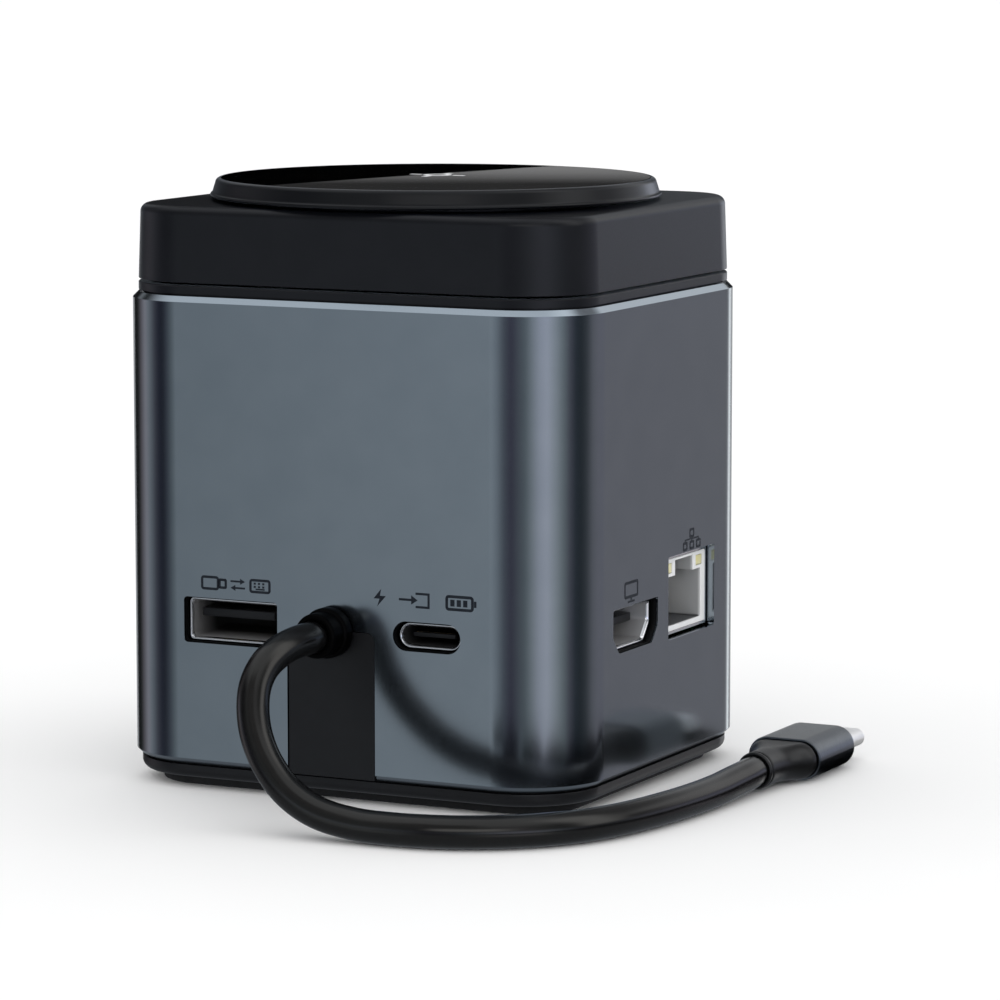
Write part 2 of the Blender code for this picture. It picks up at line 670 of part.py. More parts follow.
def hinge_bracket():
    """The fixed half of the pad hinge: a strip with two ears and their barrels."""
    strip_bottom, strip_top = 77.2 * MM, 78.4 * MM
    bracket = box("hinge_bracket", (-EAR_END, 20 * MM, strip_bottom),
                  (EAR_END, 30 * MM, strip_top), dark_steel())
    for side in (-1, 1):
        near, far = sorted((side * EAR_START, side * EAR_END))
        ear = box(f"bracket_ear_{side}", (near, 29.3 * MM, strip_bottom), (far, 30 * MM, HINGE_Z),
                  steel())
        barrel = rod(f"bracket_barrel_{side}", BARREL_RADIUS, (near, HINGE_Y, HINGE_Z),
                     (far, HINGE_Y, HINGE_Z), steel())
        join(bracket, ear, barrel)
    cut(bracket, pin_bore("bracket_bore"))
    for index, x in enumerate((-6 * MM, 6 * MM)):
        cut(bracket, rod(f"strip_hole_{index}", 1.1 * MM, (x, 23 * MM, 76 * MM),
                         (x, 23 * MM, 80 * MM), steel(), SMALL_STEPS))
        screw(f"bracket_screw_{index + 1}", x, 23 * MM, strip_bottom - GAP - 0.8 * MM, 1,
              4.0 * MM, 1.8 * MM, 0.8 * MM)


def pin_bore(name):
    """A cutter for the hinge pin's running bore."""
    return rod(name, PIN_RADIUS + PIN_CLEARANCE, (-20 * MM, HINGE_Y, HINGE_Z),
               (20 * MM, HINGE_Y, HINGE_Z), steel())


def hinge_pin():
    rod("hinge_pin", PIN_RADIUS, (-PIN_HALF, HINGE_Y, HINGE_Z), (PIN_HALF, HINGE_Y, HINGE_Z),
        steel())


def friction_washers():
    bore = PIN_RADIUS + PIN_CLEARANCE
    thickness = WASHER_END - WASHER_START
    for side, label in ((-1, "left"), (1, "right")):
        washer = turned(f"friction_washer_{label}",
                        [(bore, 0), (1.35 * MM, 0), (1.35 * MM, thickness), (bore, thickness)],
                        copper(), 24, closed=True)
        start = WASHER_START if side > 0 else -WASHER_END
        washer.matrix_world = (Matrix.Translation((start, HINGE_Y, HINGE_Z))
                               @ Matrix.Rotation(math.pi / 2, 4, 'Y'))


# ---------------------------------------------------------------- charging pad
def pad_rim():
    """The pad's tapered outer ring, with a lip below and a ledge for the glass."""
    shelf, inner = PAD_TOP - GLASS_THICKNESS - GAP, TUB_RADIUS + GAP
    profile = [(inner, PAD_BOTTOM), (PAD_RADIUS - 0.2 * MM, PAD_BOTTOM),
               (PAD_RADIUS, PAD_BOTTOM + 0.3 * MM),
               (PAD_RADIUS - 0.3 * MM, PAD_BOTTOM + 0.6 * MM),
               (PAD_RADIUS - 0.75 * MM, PAD_TOP - 0.75 * MM),
               (PAD_RADIUS - 1.0 * MM, PAD_TOP - 0.25 * MM),
               (GLASS_RADIUS + 0.3 * MM, PAD_TOP - 0.05 * MM),
               (GLASS_RADIUS + 0.3 * MM, shelf), (inner, shelf)]
    turned("pad_rim", profile, black_plastic(), ROUND_STEPS, closed=True)


def pad_glass():
    edge = 0.15 * MM
    bottom = PAD_TOP - GLASS_THICKNESS
    turned("pad_glass", [(0, bottom), (GLASS_RADIUS, bottom), (GLASS_RADIUS, PAD_TOP - edge),
                         (GLASS_RADIUS - edge, PAD_TOP), (0, PAD_TOP)],
           material("black_glass", (0.004, 0.004, 0.005), 0.05), ROUND_STEPS)


def pad_back():
    """The pad's rear tub with the moving hinge knuckle moulded on."""
    top, wall = 85.4 * MM, 1.2 * MM
    profile = [(0, TUB_BOTTOM), (TUB_RADIUS - 0.5 * MM, TUB_BOTTOM),
               (TUB_RADIUS, TUB_BOTTOM + 0.5 * MM), (TUB_RADIUS, top),
               (TUB_RADIUS - wall, top), (TUB_RADIUS - wall, TUB_FLOOR), (0, TUB_FLOOR)]
    tub = turned("pad_back", profile, black_plastic(), ROUND_STEPS)
    arm = box("knuckle_arm", (-KNUCKLE_HALF, 27.2 * MM, 81.1 * MM),
              (KNUCKLE_HALF, HINGE_Y, 83.7 * MM), steel())
    barrel = rod("knuckle_barrel", BARREL_RADIUS, (-KNUCKLE_HALF, HINGE_Y, HINGE_Z),
                 (KNUCKLE_HALF, HINGE_Y, HINGE_Z), steel())
    join(tub, arm, barrel)
    cut(tub, pin_bore("knuckle_bore"))
    for index, (x, y) in enumerate(pad_screw_places()):
        head = rod(f"tub_head_cutter_{index}", 1.8 * MM, (x, y, TUB_BOTTOM - 1 * MM),
                   (x, y, TUB_BOTTOM + 0.6 * MM), steel(), SMALL_STEPS)
        shank = rod(f"tub_shank_cutter_{index}", 0.9 * MM, (x, y, TUB_BOTTOM - 1 * MM),
                    (x, y, TUB_FLOOR + 1 * MM), steel(), SMALL_STEPS)
        cut(tub, head, shank)


def pad_screw_places():
    """Three points on a circle, clear of the coil."""
    return [(12 * MM * math.cos(angle), 12 * MM * math.sin(angle))
            for angle in (math.radians(30 + 120 * turn) for turn in range(3))]


def pad_screws():
    for index, (x, y) in enumerate(pad_screw_places(), 1):
        screw(f"pad_screw_{index}", x, y, TUB_BOTTOM - 0.1 * MM + GAP, 1, 2.1 * MM,
              1.5 * MM, 0.6 * MM, 0.35 * MM)


def coil_board():
    board = turned("coil_board", [(0, 82.3 * MM), (25 * MM, 82.3 * MM), (25 * MM, 83.1 * MM),
                                  (0, 83.1 * MM)], circuit_board(), 32)
    for index, (x, y) in enumerate(pad_screw_places()):
        cut(board, rod(f"coil_board_hole_{index}", 0.9 * MM, (x, y, 81 * MM), (x, y, 85 * MM),
                       steel(), SMALL_STEPS))


def ferrite_sheet():
    turned("ferrite_sheet", [(0, 83.4 * MM), (22.2 * MM, 83.4 * MM), (22.2 * MM, 84.0 * MM),
                             (0, 84.0 * MM)], ferrite(), 32)


def charging_coil():
    turned("charging_coil", [(10 * MM, 84.3 * MM), (21 * MM, 84.3 * MM), (21 * MM, 85.2 * MM),
                             (10 * MM, 85.2 * MM)], copper(), 32, closed=True)


def magnet_ring():
    turned("magnet_ring", [(22.9 * MM, 83.4 * MM), (26.3 * MM, 83.4 * MM),
                           (26.3 * MM, 85.7 * MM), (22.9 * MM, 85.7 * MM)],
           steel(), 32, closed=True)


# ---------------------------------------------------------------- captive cable
def cable_gland():
    """The moulded gland: an inner flange, a neck through the wall, a stepped collar."""
    face = BODY_DEPTH / 2
    inner_face = face - WALL - GAP
    profile = [(0, face - 3.3 * MM), (4.2 * MM, face - 3.3 * MM), (4.2 * MM, inner_face),
               (GLAND_HOLE - GAP, inner_face), (GLAND_HOLE - GAP, face + GAP),
               (3.6 * MM, face + GAP), (3.6 * MM, face + 1.7 * MM), (3.45 * MM, face + 2.0 * MM),
               (3.2 * MM, face + 2.1 * MM), (3.2 * MM, face + 4.6 * MM),
               (3.0 * MM, face + 4.95 * MM), (0, face + 4.95 * MM)]
    gland = turned("cable_gland", profile, rubber(), 24)
    gland.matrix_world = (Matrix.Translation((0, 0, GLAND_Z))
                          @ Matrix.Rotation(math.pi / 2, 4, 'X'))


def smooth_route(route, pieces):
    """Points read from a smooth curve through the route's own points."""
    points = []
    count = len(route)
    for index in range(count - 1):
        before, after = route[max(index - 1, 0)], route[min(index + 2, count - 1)]
        start, end = route[index], route[index + 1]
        handle = (end - start).length / 3
        lead = start + (end - before).normalized() * handle
        trail = end - (after - start).normalized() * handle
        points += geometry.interpolate_bezier(start, lead, trail, end, pieces + 1)[:-1]
    return points + [route[-1]]


def host_cable():
    points = smooth_route(CORD_ROUTE, 2)
    curve = bpy.data.curves.new("host_cable", 'CURVE')
    curve.dimensions = '3D'
    curve.bevel_depth = CORD_RADIUS
    curve.bevel_resolution = 2
    curve.use_fill_caps = True
    curve.materials.append(rubber())
    spline = curve.splines.new('POLY')
    spline.points.add(len(points) - 1)
    for target, point in zip(spline.points, points):
        target.co = (*point, 1.0)
    made = bpy.data.objects.new("host_cable", curve)
    bpy.context.scene.collection.objects.link(made)


def plug_section(width, height, y, middle_z=PLUG_Z, steps=5):
    """One rounded cross-section of the plug, square to Y."""
    radius = min(width, height) / 2 * 0.999
    return [Vector((PLUG_X + point.x, y, middle_z + point.y))
            for point in rounded_rectangle(width, height, radius, steps)]


def plug_overmould():
    """The soft boot that spreads from the round cord to the flat housing."""
    start, end = PLUG_START, HOUSING_START - GAP
    span = end - start
    sections = ((0.0, 5.4, 5.4), (0.04, 5.7, 5.7), (0.3, 5.6, 5.5), (0.5, 6.0, 5.2),
                (0.7, 7.9, 5.2), (0.86, 10.1, 5.4), (1.0, 10.8, 5.5))
    loops = [plug_section(width * MM, height * MM, start + part * span)
             for part, width, height in sections]
    loft("plug_overmould", loops, rubber())


def plug_housing():
    """The aluminium housing: a rounded flat tube with softened ends."""
    edge, nose = 0.3 * MM, 1.2 * MM
    width, height = HOUSING_WIDTH, HOUSING_HEIGHT
    loops = [plug_section(width - 2 * edge, height - 2 * edge, HOUSING_START),
             plug_section(width, height, HOUSING_START + edge),
             plug_section(width, height, HOUSING_END - nose),
             plug_section(width - 0.8 * MM, height - 0.5 * MM, HOUSING_END - 0.4 * MM),
             plug_section(width - 1.8 * MM, height - 1.3 * MM, HOUSING_END)]
    loft("plug_housing", loops, anodised())


def plug_tip():
    """The metal shroud of the USB-C plug, open at its mouth."""
    start, end = HOUSING_END + GAP, TIP_END
    width, height, sheet = 8.3 * MM, 2.6 * MM, 0.3 * MM
    edge = 0.15 * MM
    loops = [plug_section(width, height, start),
             plug_section(width, height, end - edge),
             plug_section(width - 2 * edge, height - 2 * edge, end),
             plug_section(width - 2 * sheet - edge, height - 2 * sheet - edge, end),
             plug_section(width - 2 * sheet - edge, height - 2 * sheet - edge, start + 0.8 * MM)]
    loft("plug_tip", loops, steel())


def main():
    for existing in list(bpy.data.objects):
        bpy.data.objects.remove(existing, do_unlink=True)
    foot_pad()
    base_plate()
    ballast_plate()
    base_screws()
    chassis_cage()
    aluminium_sleeve()
    slot_cover()
    main_board()
    board_parts()
    heat_spreader()
    charger_board()
    usb_a_socket()
    usb_c_socket()
    hdmi_socket()
    rj45_socket()
    top_frame()
    top_cap()
    pad_well()
    hinge_bracket()
    hinge_pin()
    friction_washers()
    pad_rim()
    pad_glass()
    pad_back()
    pad_screws()
    coil_board()
    ferrite_sheet()
    charging_coil()
    magnet_ring()
    cable_gland()
    host_cable()
    plug_overmould()
    plug_housing()
    plug_tip()


main()
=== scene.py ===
"""Looks of the laptop docking station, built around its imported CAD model.

Row frame: +Z up, origin at the centre of the foot's underside, -Y the cable face,
+X the display and network face, the pad's hinge at +Y. All lengths are in metres.
"""
import math

import bmesh
import bpy
from mathutils import Matrix, Vector, geometry


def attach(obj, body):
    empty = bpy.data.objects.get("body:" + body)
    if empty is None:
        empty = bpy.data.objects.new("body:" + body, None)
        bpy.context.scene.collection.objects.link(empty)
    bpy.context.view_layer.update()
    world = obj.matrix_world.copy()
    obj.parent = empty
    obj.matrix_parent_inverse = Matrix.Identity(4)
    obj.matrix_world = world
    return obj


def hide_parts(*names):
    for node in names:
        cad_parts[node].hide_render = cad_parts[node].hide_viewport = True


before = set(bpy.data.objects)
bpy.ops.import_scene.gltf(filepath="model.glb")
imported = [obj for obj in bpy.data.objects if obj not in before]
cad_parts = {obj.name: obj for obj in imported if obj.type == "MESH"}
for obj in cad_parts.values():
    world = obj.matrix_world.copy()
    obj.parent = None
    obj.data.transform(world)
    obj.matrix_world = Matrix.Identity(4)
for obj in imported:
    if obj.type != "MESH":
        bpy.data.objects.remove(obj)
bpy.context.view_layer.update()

MM = 0.001

# ---------------------------------------------------------------- sizes, as in the CAD
BODY_WIDTH = 74.0 * MM
BODY_DEPTH = 66.1 * MM
CORNER_RADIUS = 12.1 * MM
WALL = 1.4 * MM
GAP = 0.3 * MM
PLUG_INSET = WALL + GAP + 0.05 * MM

FOOT_HEIGHT = 1.2 * MM
FOOT_INSET = 3.9 * MM
BASE_BOTTOM = 1.5 * MM
BASE_INSET = 0.8 * MM
BASE_ROUND = 1.2 * MM
BASE_FLOOR = 3.2 * MM
BASE_TOP = 6.0 * MM
SEAM = 3.7 * MM
SLEEVE_TOP = 71.1 * MM
CHAMFER = 0.8 * MM
TRAY_INSET = 3.2 * MM
BOSS_X = 28.8 * MM
BOSS_Y = 24.9 * MM
HEAD_ROOM = 2.6 * MM
SHANK_ROOM = 1.4 * MM

RING_TOP = 72.6 * MM
RING_INSET = 0.85 * MM
RIM_INSET = 2.6 * MM
FLANGE_FOOT = 67.4 * MM
FLANGE_TOP = 69.0 * MM
FLANGE_INSET = 9.0 * MM
CAP_BOTTOM = 73.0 * MM
CAP_TOP = 83.8 * MM
CAP_FOOT_INSET = 0.87 * MM
CAP_TOP_INSET = 1.2 * MM
CAP_ROUND = 1.3 * MM
CAP_INNER_INSET = 2.5 * MM
DECK_UNDERSIDE = 82.0 * MM
WELL_RADIUS = 28.5 * MM
WELL_FLOOR = 80.3 * MM
NOTCH_HALF = 11.2 * MM
NOTCH_Y = 26.5 * MM
CUT_REACH = 4 * MM

PAD_BOTTOM = 84.3 * MM
PAD_TOP = 87.0 * MM
PAD_RADIUS = 32.85 * MM
GLASS_RADIUS = 31.3 * MM
GLASS_THICKNESS = 0.8 * MM
GLASS_TOP = PAD_TOP - 0.02 * MM
RIM_INNER = 28.4 * MM

MOUTH_DEPTH = 1.2 * MM
LIP_FLARE = 0.38 * MM
SOCKET_Z = 24.8 * MM
USB_A_X = -16.2 * MM
USB_C_X = 15.2 * MM
HDMI_Y = -10.4 * MM
RJ45_Y = 9.05 * MM
RJ45_Z = 27.1 * MM
SLOT_HALF = 7.0 * MM
SLOT_CORNER = 1.3 * MM
GLAND_Z = 24.6 * MM
GLAND_HOLE = 3.2 * MM

CORD_RADIUS = 2.3 * MM
CORD_CLEARANCE = 0.015 * MM
PLUG_X = 50.7 * MM
PLUG_Z = 3.1 * MM
PLUG_START = 0.4 * MM
HOUSING_START = 11.7 * MM
HOUSING_END = 25.8 * MM
TIP_END = 32.7 * MM

CORD_ROUTE = [Vector(point) for point in (
    (0.0, -0.0384, 0.0246), (0.0, -0.0405, 0.0246), (-0.0004, -0.0432, 0.0244),
    (-0.0011, -0.0462, 0.0236), (-0.0018, -0.0492, 0.0219), (-0.0020, -0.0514, 0.0194),
    (-0.0015, -0.0529, 0.0162), (-0.0002, -0.0541, 0.0128), (0.0022, -0.0552, 0.0093),
    (0.0058, -0.0560, 0.0060), (0.0104, -0.0563, 0.0037), (0.0161, -0.0562, 0.0026),
    (0.0216, -0.0560, 0.0024), (0.0270, -0.0552, 0.0024), (0.0320, -0.0534, 0.0024),
    (0.0367, -0.0505, 0.0024), (0.0406, -0.0470, 0.0024), (0.0438, -0.0426, 0.0024),
    (0.0461, -0.0374, 0.0024), (0.0477, -0.0316, 0.0024), (0.0489, -0.0252, 0.0024),
    (0.0497, -0.0186, 0.0024), (0.0502, -0.0120, 0.0025), (0.0505, -0.0062, 0.0028),
    (0.0507, -0.0024, 0.0030), (0.0507, 0.0001, 0.0031))]

PLAN_STEPS = 28
ROUND_STEPS = 144


# ---------------------------------------------------------------- materials
class Nodes:
    """Short calls for building one node tree."""

    def __init__(self, tree):
        self.tree = tree

    def add(self, kind, **settings):
        node = self.tree.nodes.new("ShaderNode" + kind)
        for key, value in settings.items():
            setattr(node, key, value)
        return node

    def link(self, source, target):
        self.tree.links.new(source, target)

    def feed(self, node, name, value):
        """Link a socket, or set a plain value."""
        if isinstance(value, bpy.types.NodeSocket):
            self.link(value, node.inputs[name])
        else:
            node.inputs[name].default_value = value

    def math(self, operation, first, second=0.0):
        node = self.add("Math", operation=operation)
        self.feed(node, 0, first)
        self.feed(node, 1, second)
        return node.outputs[0]

    def fade(self, value, low, high, start=0.0, end=1.0, smooth=False):
        node = self.add("MapRange", interpolation_type="SMOOTHSTEP" if smooth else "LINEAR")
        self.feed(node, "Value", value)
        self.feed(node, "From Min", low)
        self.feed(node, "From Max", high)
        self.feed(node, "To Min", start)
        self.feed(node, "To Max", end)
        return node.outputs["Result"]

    def mix(self, factor, first, second, blend="MIX"):
        node = self.add("Mix", data_type="RGBA", blend_type=blend)
        self.feed(node, 0, factor)
        for index, value in ((6, first), (7, second)):
            if isinstance(value, bpy.types.NodeSocket):
                self.link(value, node.inputs[index])
            else:
                node.inputs[index].default_value = (*value, 1.0)
        return node.outputs[2]

    def ramp(self, value, stops):
        """A colour ramp through (position, colour) stops."""
        node = self.add("ValToRGB")
        self.link(value, node.inputs["Fac"])
        elements = node.color_ramp.elements
        elements.remove(elements[-1])
        for index, (position, colour) in enumerate(stops):
            element = elements[0] if index == 0 else elements.new(position)
            element.position = position
            element.color = (*colour, 1.0)
        return node.outputs["Color"]

    def noise(self, place, scale, detail=3.0):
        node = self.add("TexNoise")
        self.link(place, node.inputs["Vector"])
        node.inputs["Scale"].default_value = scale
        node.inputs["Detail"].default_value = detail
        return node.outputs["Fac"]

    def place(self, stretch=None):
        """Object coordinates in metres, which are the row frame's."""
        coordinates = self.add("TexCoord").outputs["Object"]
        if stretch is None:
            return coordinates
        mapping = self.add("Mapping")
        mapping.inputs["Scale"].default_value = stretch
        self.link(coordinates, mapping.inputs["Vector"])
        return mapping.outputs["Vector"]


LIKELY_NOISE = (0.3, 0.7)


def surface(name, dark, light, rough, metallic=0.0, patch=220.0, grain=5000.0, relief=0.0,
            settings=None, stretch=None):
    """A material with soft patches of tone, fine grain in gloss and a little relief."""
    material = bpy.data.materials.new(name)
    material.use_nodes = True
    material.diffuse_color = (*light[:3], 1.0)
    nodes = Nodes(material.node_tree)
    shader = material.node_tree.nodes["Principled BSDF"]
    place = nodes.place(stretch)
    tone = nodes.mix(nodes.fade(nodes.noise(place, patch), *LIKELY_NOISE), dark, light)
    nodes.link(tone, shader.inputs["Base Color"])
    fine = nodes.noise(place, grain, 2.0)
    nodes.link(nodes.fade(fine, *LIKELY_NOISE, *rough), shader.inputs["Roughness"])
    shader.inputs["Metallic"].default_value = metallic
    for key, value in (settings or {}).items():
        shader.inputs[key].default_value = value
    if relief:
        bump = nodes.add("Bump")
        bump.inputs["Distance"].default_value = relief
        bump.inputs["Strength"].default_value = 1.0
        nodes.link(fine, bump.inputs["Height"])
        nodes.link(bump.outputs["Normal"], shader.inputs["Normal"])
    return material


def coordinate(nodes, axis):
    """A point's X, Y or Z in the row frame."""
    separate = nodes.add("SeparateXYZ")
    nodes.link(nodes.place(), separate.inputs[0])
    return separate.outputs[axis]


def retone(material, factor, colour):
    """Mix a second colour over a surface() material where factor is 1."""
    nodes = Nodes(material.node_tree)
    shader = material.node_tree.nodes["Principled BSDF"]
    base = shader.inputs["Base Color"].links[0].from_socket
    nodes.link(nodes.mix(factor(nodes), base, colour), shader.inputs["Base Color"])


# The chamfer's tone: bright cut metal, lifted further as a painted highlight of the light from
# above.
CHAMFER_CUT_AND_HIGHLIGHT = (0.44, 0.50, 0.55)
CUT_BLUR = 0.02 * MM


def anodised_aluminium():
    """Blue-grey anodised tube whose chamfer at the top is cut bright, and tinted brighter still as
    a painted highlight of the light from above.
    """
    material = surface("anodised_aluminium", (0.266, 0.303, 0.336), (0.284, 0.321, 0.354),
                       (0.13, 0.165), 1.0, 160.0, 7000.0, 4e-7)

    def chamfer(nodes):
        foot = SLEEVE_TOP - CHAMFER
        return nodes.fade(coordinate(nodes, "Z"), foot - CUT_BLUR, foot + CUT_BLUR)
    # Lay the chamfer's tone, partly painted highlight, over the tube.
    retone(material, chamfer, CHAMFER_CUT_AND_HIGHLIGHT)
    return material


def depth_in_side(nodes):
    """How far a point lies behind the side face's shells' mouths."""
    return nodes.math("SUBTRACT", BODY_WIDTH / 2 - MOUTH_DEPTH, coordinate(nodes, "X"))


def depth_in_cable_face(nodes):
    """How far a point lies behind the cable face's shells' mouths."""
    return nodes.math("ADD", BODY_DEPTH / 2 - MOUTH_DEPTH, coordinate(nodes, "Y"))


# Painted shade on the network jack's white insert: inside its mouth, on the cavity's ceiling and on
# its floor.
INSERT_INSIDE_SHADE = (0.44, 0.45, 0.46)
INSERT_CEILING_SHADE = (0.05, 0.05, 0.055)
INSERT_FLOOR_SHADE = (0.07, 0.072, 0.078)


def jack_plastic():
    """White insert with painted shade: greyer inside its mouth, and dark on its cavity's floor and
    ceiling.
    """
    material = surface("jack_plastic", (0.78, 0.79, 0.80), (0.84, 0.85, 0.86), (0.34, 0.42),
                       0.0, 400.0, 6000.0, 1e-6)

    def inside(nodes):
        return nodes.fade(depth_in_side(nodes), 0.15 * MM, 0.5 * MM)

    def floor(nodes):
        low = nodes.fade(coordinate(nodes, "Z"), RJ45_Z - 4.45 * MM, RJ45_Z - 4.2 * MM, 1.0, 0.0)
        return nodes.math("MULTIPLY", low, inside(nodes))

    def ceiling(nodes):
        high = nodes.fade(coordinate(nodes, "Z"), RJ45_Z + 0.5 * MM, RJ45_Z + 4.6 * MM, 0.0, 0.85)
        return nodes.math("MULTIPLY", high, nodes.fade(depth_in_side(nodes), 2.2 * MM, 3.2 * MM))
    # Lay the painted shade over the insert's own white.
    retone(material, inside, INSERT_INSIDE_SHADE)
    retone(material, ceiling, INSERT_CEILING_SHADE)
    retone(material, floor, INSERT_FLOOR_SHADE)
    return material


def shaded_shell_metal(name, near, far, depth, reach, metallic):
    """Tinned steel inside a socket shell, darker than the lip and darker still with depth: painted
    shade.
    """
    tone = (near, near, near * 1.02)
    material = surface(name, [value * 0.94 for value in tone], tone, (0.42, 0.5), metallic,
                       700.0, 3000.0)
    retone(material, lambda nodes: nodes.fade(depth(nodes), 0.3 * MM, reach), (far, far, far))
    return material


def circuit_board():
    """Green solder mask over the pattern of copper tracks."""
    material = surface("circuit_board", (0.014, 0.075, 0.04), (0.018, 0.09, 0.05), (0.3, 0.4),
                       0.0, 300.0, 4000.0)

    def tracks(nodes):
        brick = nodes.add("TexBrick")
        nodes.link(nodes.place(), brick.inputs["Vector"])
        brick.inputs["Scale"].default_value = 260.0
        brick.inputs["Mortar Size"].default_value = 0.03
        return brick.outputs["Fac"]
    retone(material, tracks, (0.04, 0.16, 0.09))
    return material


def wound_copper():
    """Enamelled wire laid in close turns round the Z axis."""
    material = surface("copper", (0.62, 0.27, 0.13), (0.72, 0.34, 0.17), (0.24, 0.34), 1.0,
                       900.0)

    def turns(nodes):
        rings = nodes.add("TexWave", wave_type="RINGS", rings_direction="Z")
        nodes.link(nodes.place(), rings.inputs["Vector"])
        rings.inputs["Scale"].default_value = 380.0
        return nodes.fade(rings.outputs["Fac"], 0.0, 0.35, 1.0, 0.0)
    retone(material, turns, (0.12, 0.045, 0.02))
    return material


COOL_SHEEN = {"Specular IOR Level": 0.32, "Sheen Weight": 0.12, "Sheen Roughness": 0.3,
              "Sheen Tint": (0.72, 0.84, 1.0, 1.0)}
# The deck's gloss in front of the pad and behind it, and the heights and depths it turns at.
DECK_GLOSS = (("Specular IOR Level", 0.02, 0.22), ("Sheen Weight", 0.0, 0.05))
DECK_EDGE = (CAP_TOP - 0.25 * MM, CAP_TOP - 0.05 * MM)
DECK_BACK = (-12 * MM, 6 * MM)


def cap_plastic():
    """Cool black plastic whose deck, except at the back, is matt."""
    material = surface("cap_plastic", (0.0036, 0.0041, 0.0062), (0.0046, 0.0051, 0.0074),
                       (0.32, 0.38), 0.0, 180.0, 5200.0, 1.2e-6, COOL_SHEEN)
    nodes = Nodes(material.node_tree)
    shader = material.node_tree.nodes["Principled BSDF"]
    back = nodes.fade(coordinate(nodes, "Y"), *DECK_BACK)
    on_deck = nodes.fade(coordinate(nodes, "Z"), *DECK_EDGE)
    for key, front_gloss, back_gloss in DECK_GLOSS:
        deck = nodes.fade(back, 0.0, 1.0, front_gloss, back_gloss)
        nodes.link(nodes.fade(on_deck, 0.0, 1.0, COOL_SHEEN[key], deck), shader.inputs[key])
    return material


# Plain finishes: dark tone, light tone, roughness from and to, metallic, scale of the patches,
# scale of the grain, depth of the relief in metres, other shader inputs and stretch.
FINISHES = {
    "plug_metal": ((0.150, 0.164, 0.180), (0.170, 0.184, 0.200), (0.27, 0.34), 1.0, 500.0,
                   8000.0, 1e-6),
    "pad_plastic": ((0.0036, 0.0041, 0.0054), (0.0046, 0.0051, 0.0064), (0.30, 0.36), 0.0,
                    240.0, 5200.0, 1.2e-6, COOL_SHEEN),
    "black_plastic": ((0.0050, 0.0052, 0.0064), (0.0062, 0.0064, 0.0078), (0.36, 0.44), 0.0,
                      300.0, 4200.0, 2e-6, {"Specular IOR Level": 0.42}),
    # Near-black, dull finish of the cut-outs' collars: painted shade round the shells.
    "liner_black": ((0.0008, 0.0009, 0.0011), (0.0012, 0.0013, 0.0016), (0.5, 0.6), 0.0,
                    600.0, 5000.0, 0.0, {"Specular IOR Level": 0.15}),
    "frame_plastic": ((0.08, 0.088, 0.098), (0.095, 0.104, 0.114), (0.5, 0.6), 0.0, 200.0,
                      3500.0, 3e-6),
    "lamp": ((0.88, 0.82, 0.42), (0.94, 0.90, 0.56), (0.18, 0.26), 0.0, 900.0, 5000.0, 0.0,
             {"Transmission Weight": 0.25}),
    "black_glass": ((0.0018, 0.0018, 0.002), (0.0026, 0.0026, 0.003), (0.004, 0.009), 0.0,
                    60.0, 400.0, 0.0, {"Coat Weight": 0.2, "Coat Roughness": 0.004}),
    "rubber_foot": ((0.009, 0.009, 0.0095), (0.013, 0.013, 0.0135), (0.7, 0.8), 0.0, 500.0,
                    3000.0, 6e-6),
    "cable_jacket": ((0.0040, 0.0040, 0.0042), (0.0050, 0.0050, 0.0052), (0.17, 0.22), 0.0,
                     500.0, 4500.0, 1e-6, {"Specular IOR Level": 0.55,
                                           "Specular Tint": (1.0, 0.97, 0.91, 1.0)}),
    "boot_rubber": ((0.0060, 0.0060, 0.0062), (0.0076, 0.0076, 0.0078), (0.3, 0.38), 0.0,
                    500.0, 4500.0, 1.6e-6),
    "gland_rubber": ((0.0006, 0.0006, 0.0007), (0.0010, 0.0010, 0.0011), (0.34, 0.42), 0.0,
                     500.0, 4500.0, 1.6e-6, {"Specular IOR Level": 0.04}),
    "thermal_gap_pad": ((0.30, 0.35, 0.40), (0.38, 0.43, 0.48), (0.75, 0.85), 0.0, 900.0,
                        3000.0, 8e-6),
    "tip_steel": ((0.80, 0.80, 0.81), (0.86, 0.86, 0.87), (0.3, 0.36), 0.5, 700.0, 7000.0),
    "bright_steel": ((0.80, 0.80, 0.805), (0.86, 0.86, 0.865), (0.16, 0.22), 1.0, 700.0,
                     7000.0),
    "plain_steel": ((0.32, 0.32, 0.33), (0.40, 0.40, 0.41), (0.3, 0.42), 1.0, 240.0, 2500.0,
                    1.5e-6, None, (0.12, 1.0, 1.0)),
    "black_steel": ((0.026, 0.026, 0.028), (0.036, 0.036, 0.038), (0.36, 0.46), 0.9, 500.0,
                    3000.0, 1e-6),
    "bronze": ((0.52, 0.36, 0.21), (0.64, 0.45, 0.27), (0.3, 0.4), 1.0, 1200.0),
    "ferrite": ((0.05, 0.046, 0.046), (0.07, 0.064, 0.064), (0.55, 0.65), 0.0, 900.0, 2500.0,
                4e-6),
    "contact_gold": ((0.80, 0.56, 0.24), (0.90, 0.66, 0.31), (0.2, 0.28), 1.0, 1500.0),
    "print_ink": ((0.006, 0.010, 0.017), (0.010, 0.015, 0.023), (0.5, 0.6), 0.0, 900.0,
                  5000.0, 0.0, {"Specular IOR Level": 0.25}),
    "mark_ink": ((0.84, 0.85, 0.86), (0.90, 0.91, 0.92), (0.4, 0.5), 0.0, 900.0),
}


# Painted shade inside the socket shells: tone at the mouth and at the back, depth, reach and
# metallic.
SHADED_SHELL_INSIDES = {
    "shaded_grey_inside": (0.20, 0.008, depth_in_cable_face, 7 * MM, 0.2),
    "shaded_dark_inside": (0.03, 0.003, depth_in_cable_face, 4 * MM, 0.2),
    "shaded_silver_inside": (0.36, 0.10, depth_in_side, 8 * MM, 0.5),
}


